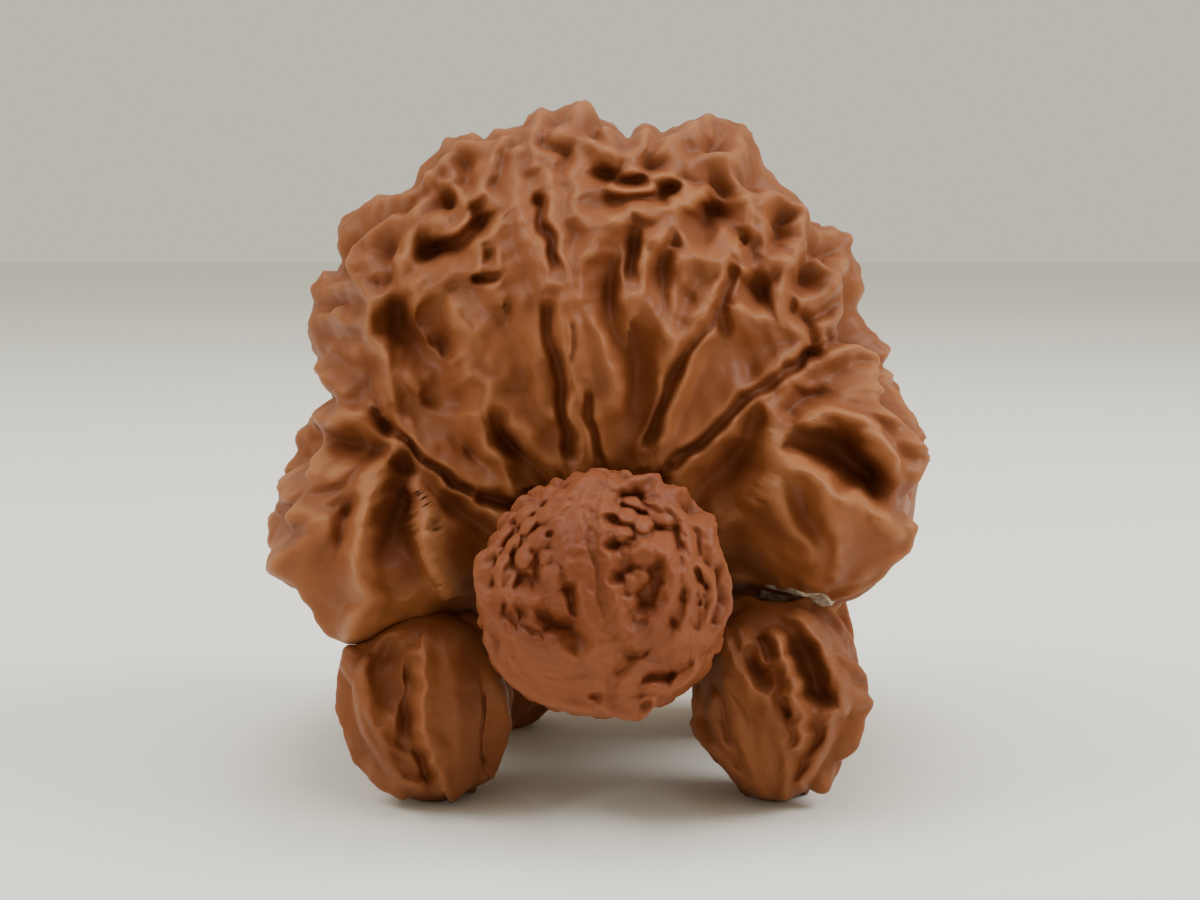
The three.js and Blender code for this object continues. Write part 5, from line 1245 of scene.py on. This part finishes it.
class WALNUT_OT_glue(bpy.types.Operator):
    """Give the glue between the nuts its finish"""

    bl_idname = "walnut.glue"
    bl_label = "Glue"

    def execute(self, context):
        finish = glue_finish("glue")
        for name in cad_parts:
            if name.startswith("glue_"):
                for slot in bpy.data.objects[name].material_slots:
                    slot.material = finish
        return {"FINISHED"}


def soft_light(name, place, size, power, target, tint=(1, 1, 1)):
    lamp = bpy.data.lights.new(name, "AREA")
    lamp.shape = "DISK"
    lamp.size = size
    lamp.energy = power
    lamp.color = tint
    holder = bpy.data.objects.new(name, lamp)
    holder.location = place
    holder.rotation_euler = (Vector(target) - Vector(place)).to_track_quat("-Z", "Y").to_euler()
    bpy.context.scene.collection.objects.link(holder)


class WALNUT_OT_stage(bpy.types.Operator):
    """Set up the floor, the lights and the camera"""

    bl_idname = "walnut.stage"
    bl_label = "Stage"

    def execute(self, context):
        scene = context.scene
        look = scene.walnut_stage
        sheet = bmesh.new()
        bmesh.ops.create_grid(sheet, x_segments=1, y_segments=1, size=look.reach)
        mesh = bpy.data.meshes.new("floor")
        sheet.to_mesh(mesh)
        sheet.free()
        floor = bpy.data.objects.new("floor", mesh)
        scene.collection.objects.link(floor)
        mesh.materials.append(floor_finish("floor", look.floor))
        target = (0.0, 0.0, 0.03)
        soft_light("key_light", (-0.35, -0.05, 0.42), 0.3, look.key_power, target)
        soft_light("side_light", (0.40, 0.0, 0.36), 0.3, look.side_power, target)
        soft_light("overhead_light", (0.0, 0.06, 0.60), 0.4, look.fill_power, target)
        world = bpy.data.worlds.new("surroundings")
        world.use_nodes = True
        backdrop = world.node_tree.nodes["Background"]
        backdrop.inputs["Color"].default_value = (1.0, 0.955, 0.80, 1)
        backdrop.inputs["Strength"].default_value = look.sky
        scene.world = world
        lens = bpy.data.cameras.new("camera")
        lens.sensor_width = 36.0
        lens.lens = lens.sensor_width * FOCAL_PX / PICTURE[0]
        lens.clip_start = 0.01
        camera = bpy.data.objects.new("camera", lens)
        camera.location = Vector((EYE + CENTRE_SHIFT) * MM)
        camera.rotation_euler = (pi / 2 - TILT, 0, 0)
        scene.collection.objects.link(camera)
        scene.camera = camera
        return {"FINISHED"}


class WALNUT_PT_figure(bpy.types.Panel):
    """The figure's pieces, in the order in which they are made"""

    bl_idname = "WALNUT_PT_figure"
    bl_label = "Walnut figure"
    bl_space_type = "VIEW_3D"
    bl_region_type = "UI"
    bl_category = "Walnut Figure"

    def draw(self, context):
        scene = context.scene
        for settings in (scene.walnut_sizes, scene.walnut_body_look, scene.walnut_head_look,
                         scene.walnut_foot_look, scene.walnut_stage):
            box = self.layout.box()
            for key in settings.__annotations__:
                box.prop(settings, key)
        for operator in OPERATORS:
            self.layout.operator(operator.bl_idname)


BODY = Form(BODY_FORM)
HEAD = Form(HEAD_FORM)
FEET = {place: Form(settings) for place, settings in FOOT_FORMS.items()}
BODY_NUT = Nut(BODY, body_relief(BODY), 1.9)
HEAD_NUT = Nut(HEAD, head_relief(HEAD), 0.8)
FOOT_NUTS = {place: Nut(form, foot_relief(form, place, 11 + i), 1.4)
             for i, (place, form) in enumerate(FEET.items())}

OPERATORS = (WALNUT_OT_stage, WALNUT_OT_body, WALNUT_OT_head, WALNUT_OT_feet, WALNUT_OT_glue)
SETTINGS = {
    "walnut_sizes": FigureSizes,
    "walnut_body_look": ShellLook,
    "walnut_head_look": ShellLook,
    "walnut_foot_look": ShellLook,
    "walnut_stage": StageLook,
}
CLASSES = (ShellLook, FigureSizes, StageLook, *OPERATORS, WALNUT_PT_figure)


def register():
    for item in CLASSES:
        bpy.utils.register_class(item)
    for name, group in SETTINGS.items():
        setattr(bpy.types.Scene, name, bpy.props.PointerProperty(type=group))


def unregister():
    for name in SETTINGS:
        delattr(bpy.types.Scene, name)
    for item in reversed(CLASSES):
        bpy.utils.unregister_class(item)


def main():
    register()
    bpy.ops.walnut.stage()
    bpy.ops.walnut.body()
    bpy.ops.walnut.head()
    bpy.ops.walnut.feet()
    bpy.ops.walnut.glue()


if __name__ == "__main__":
    main()
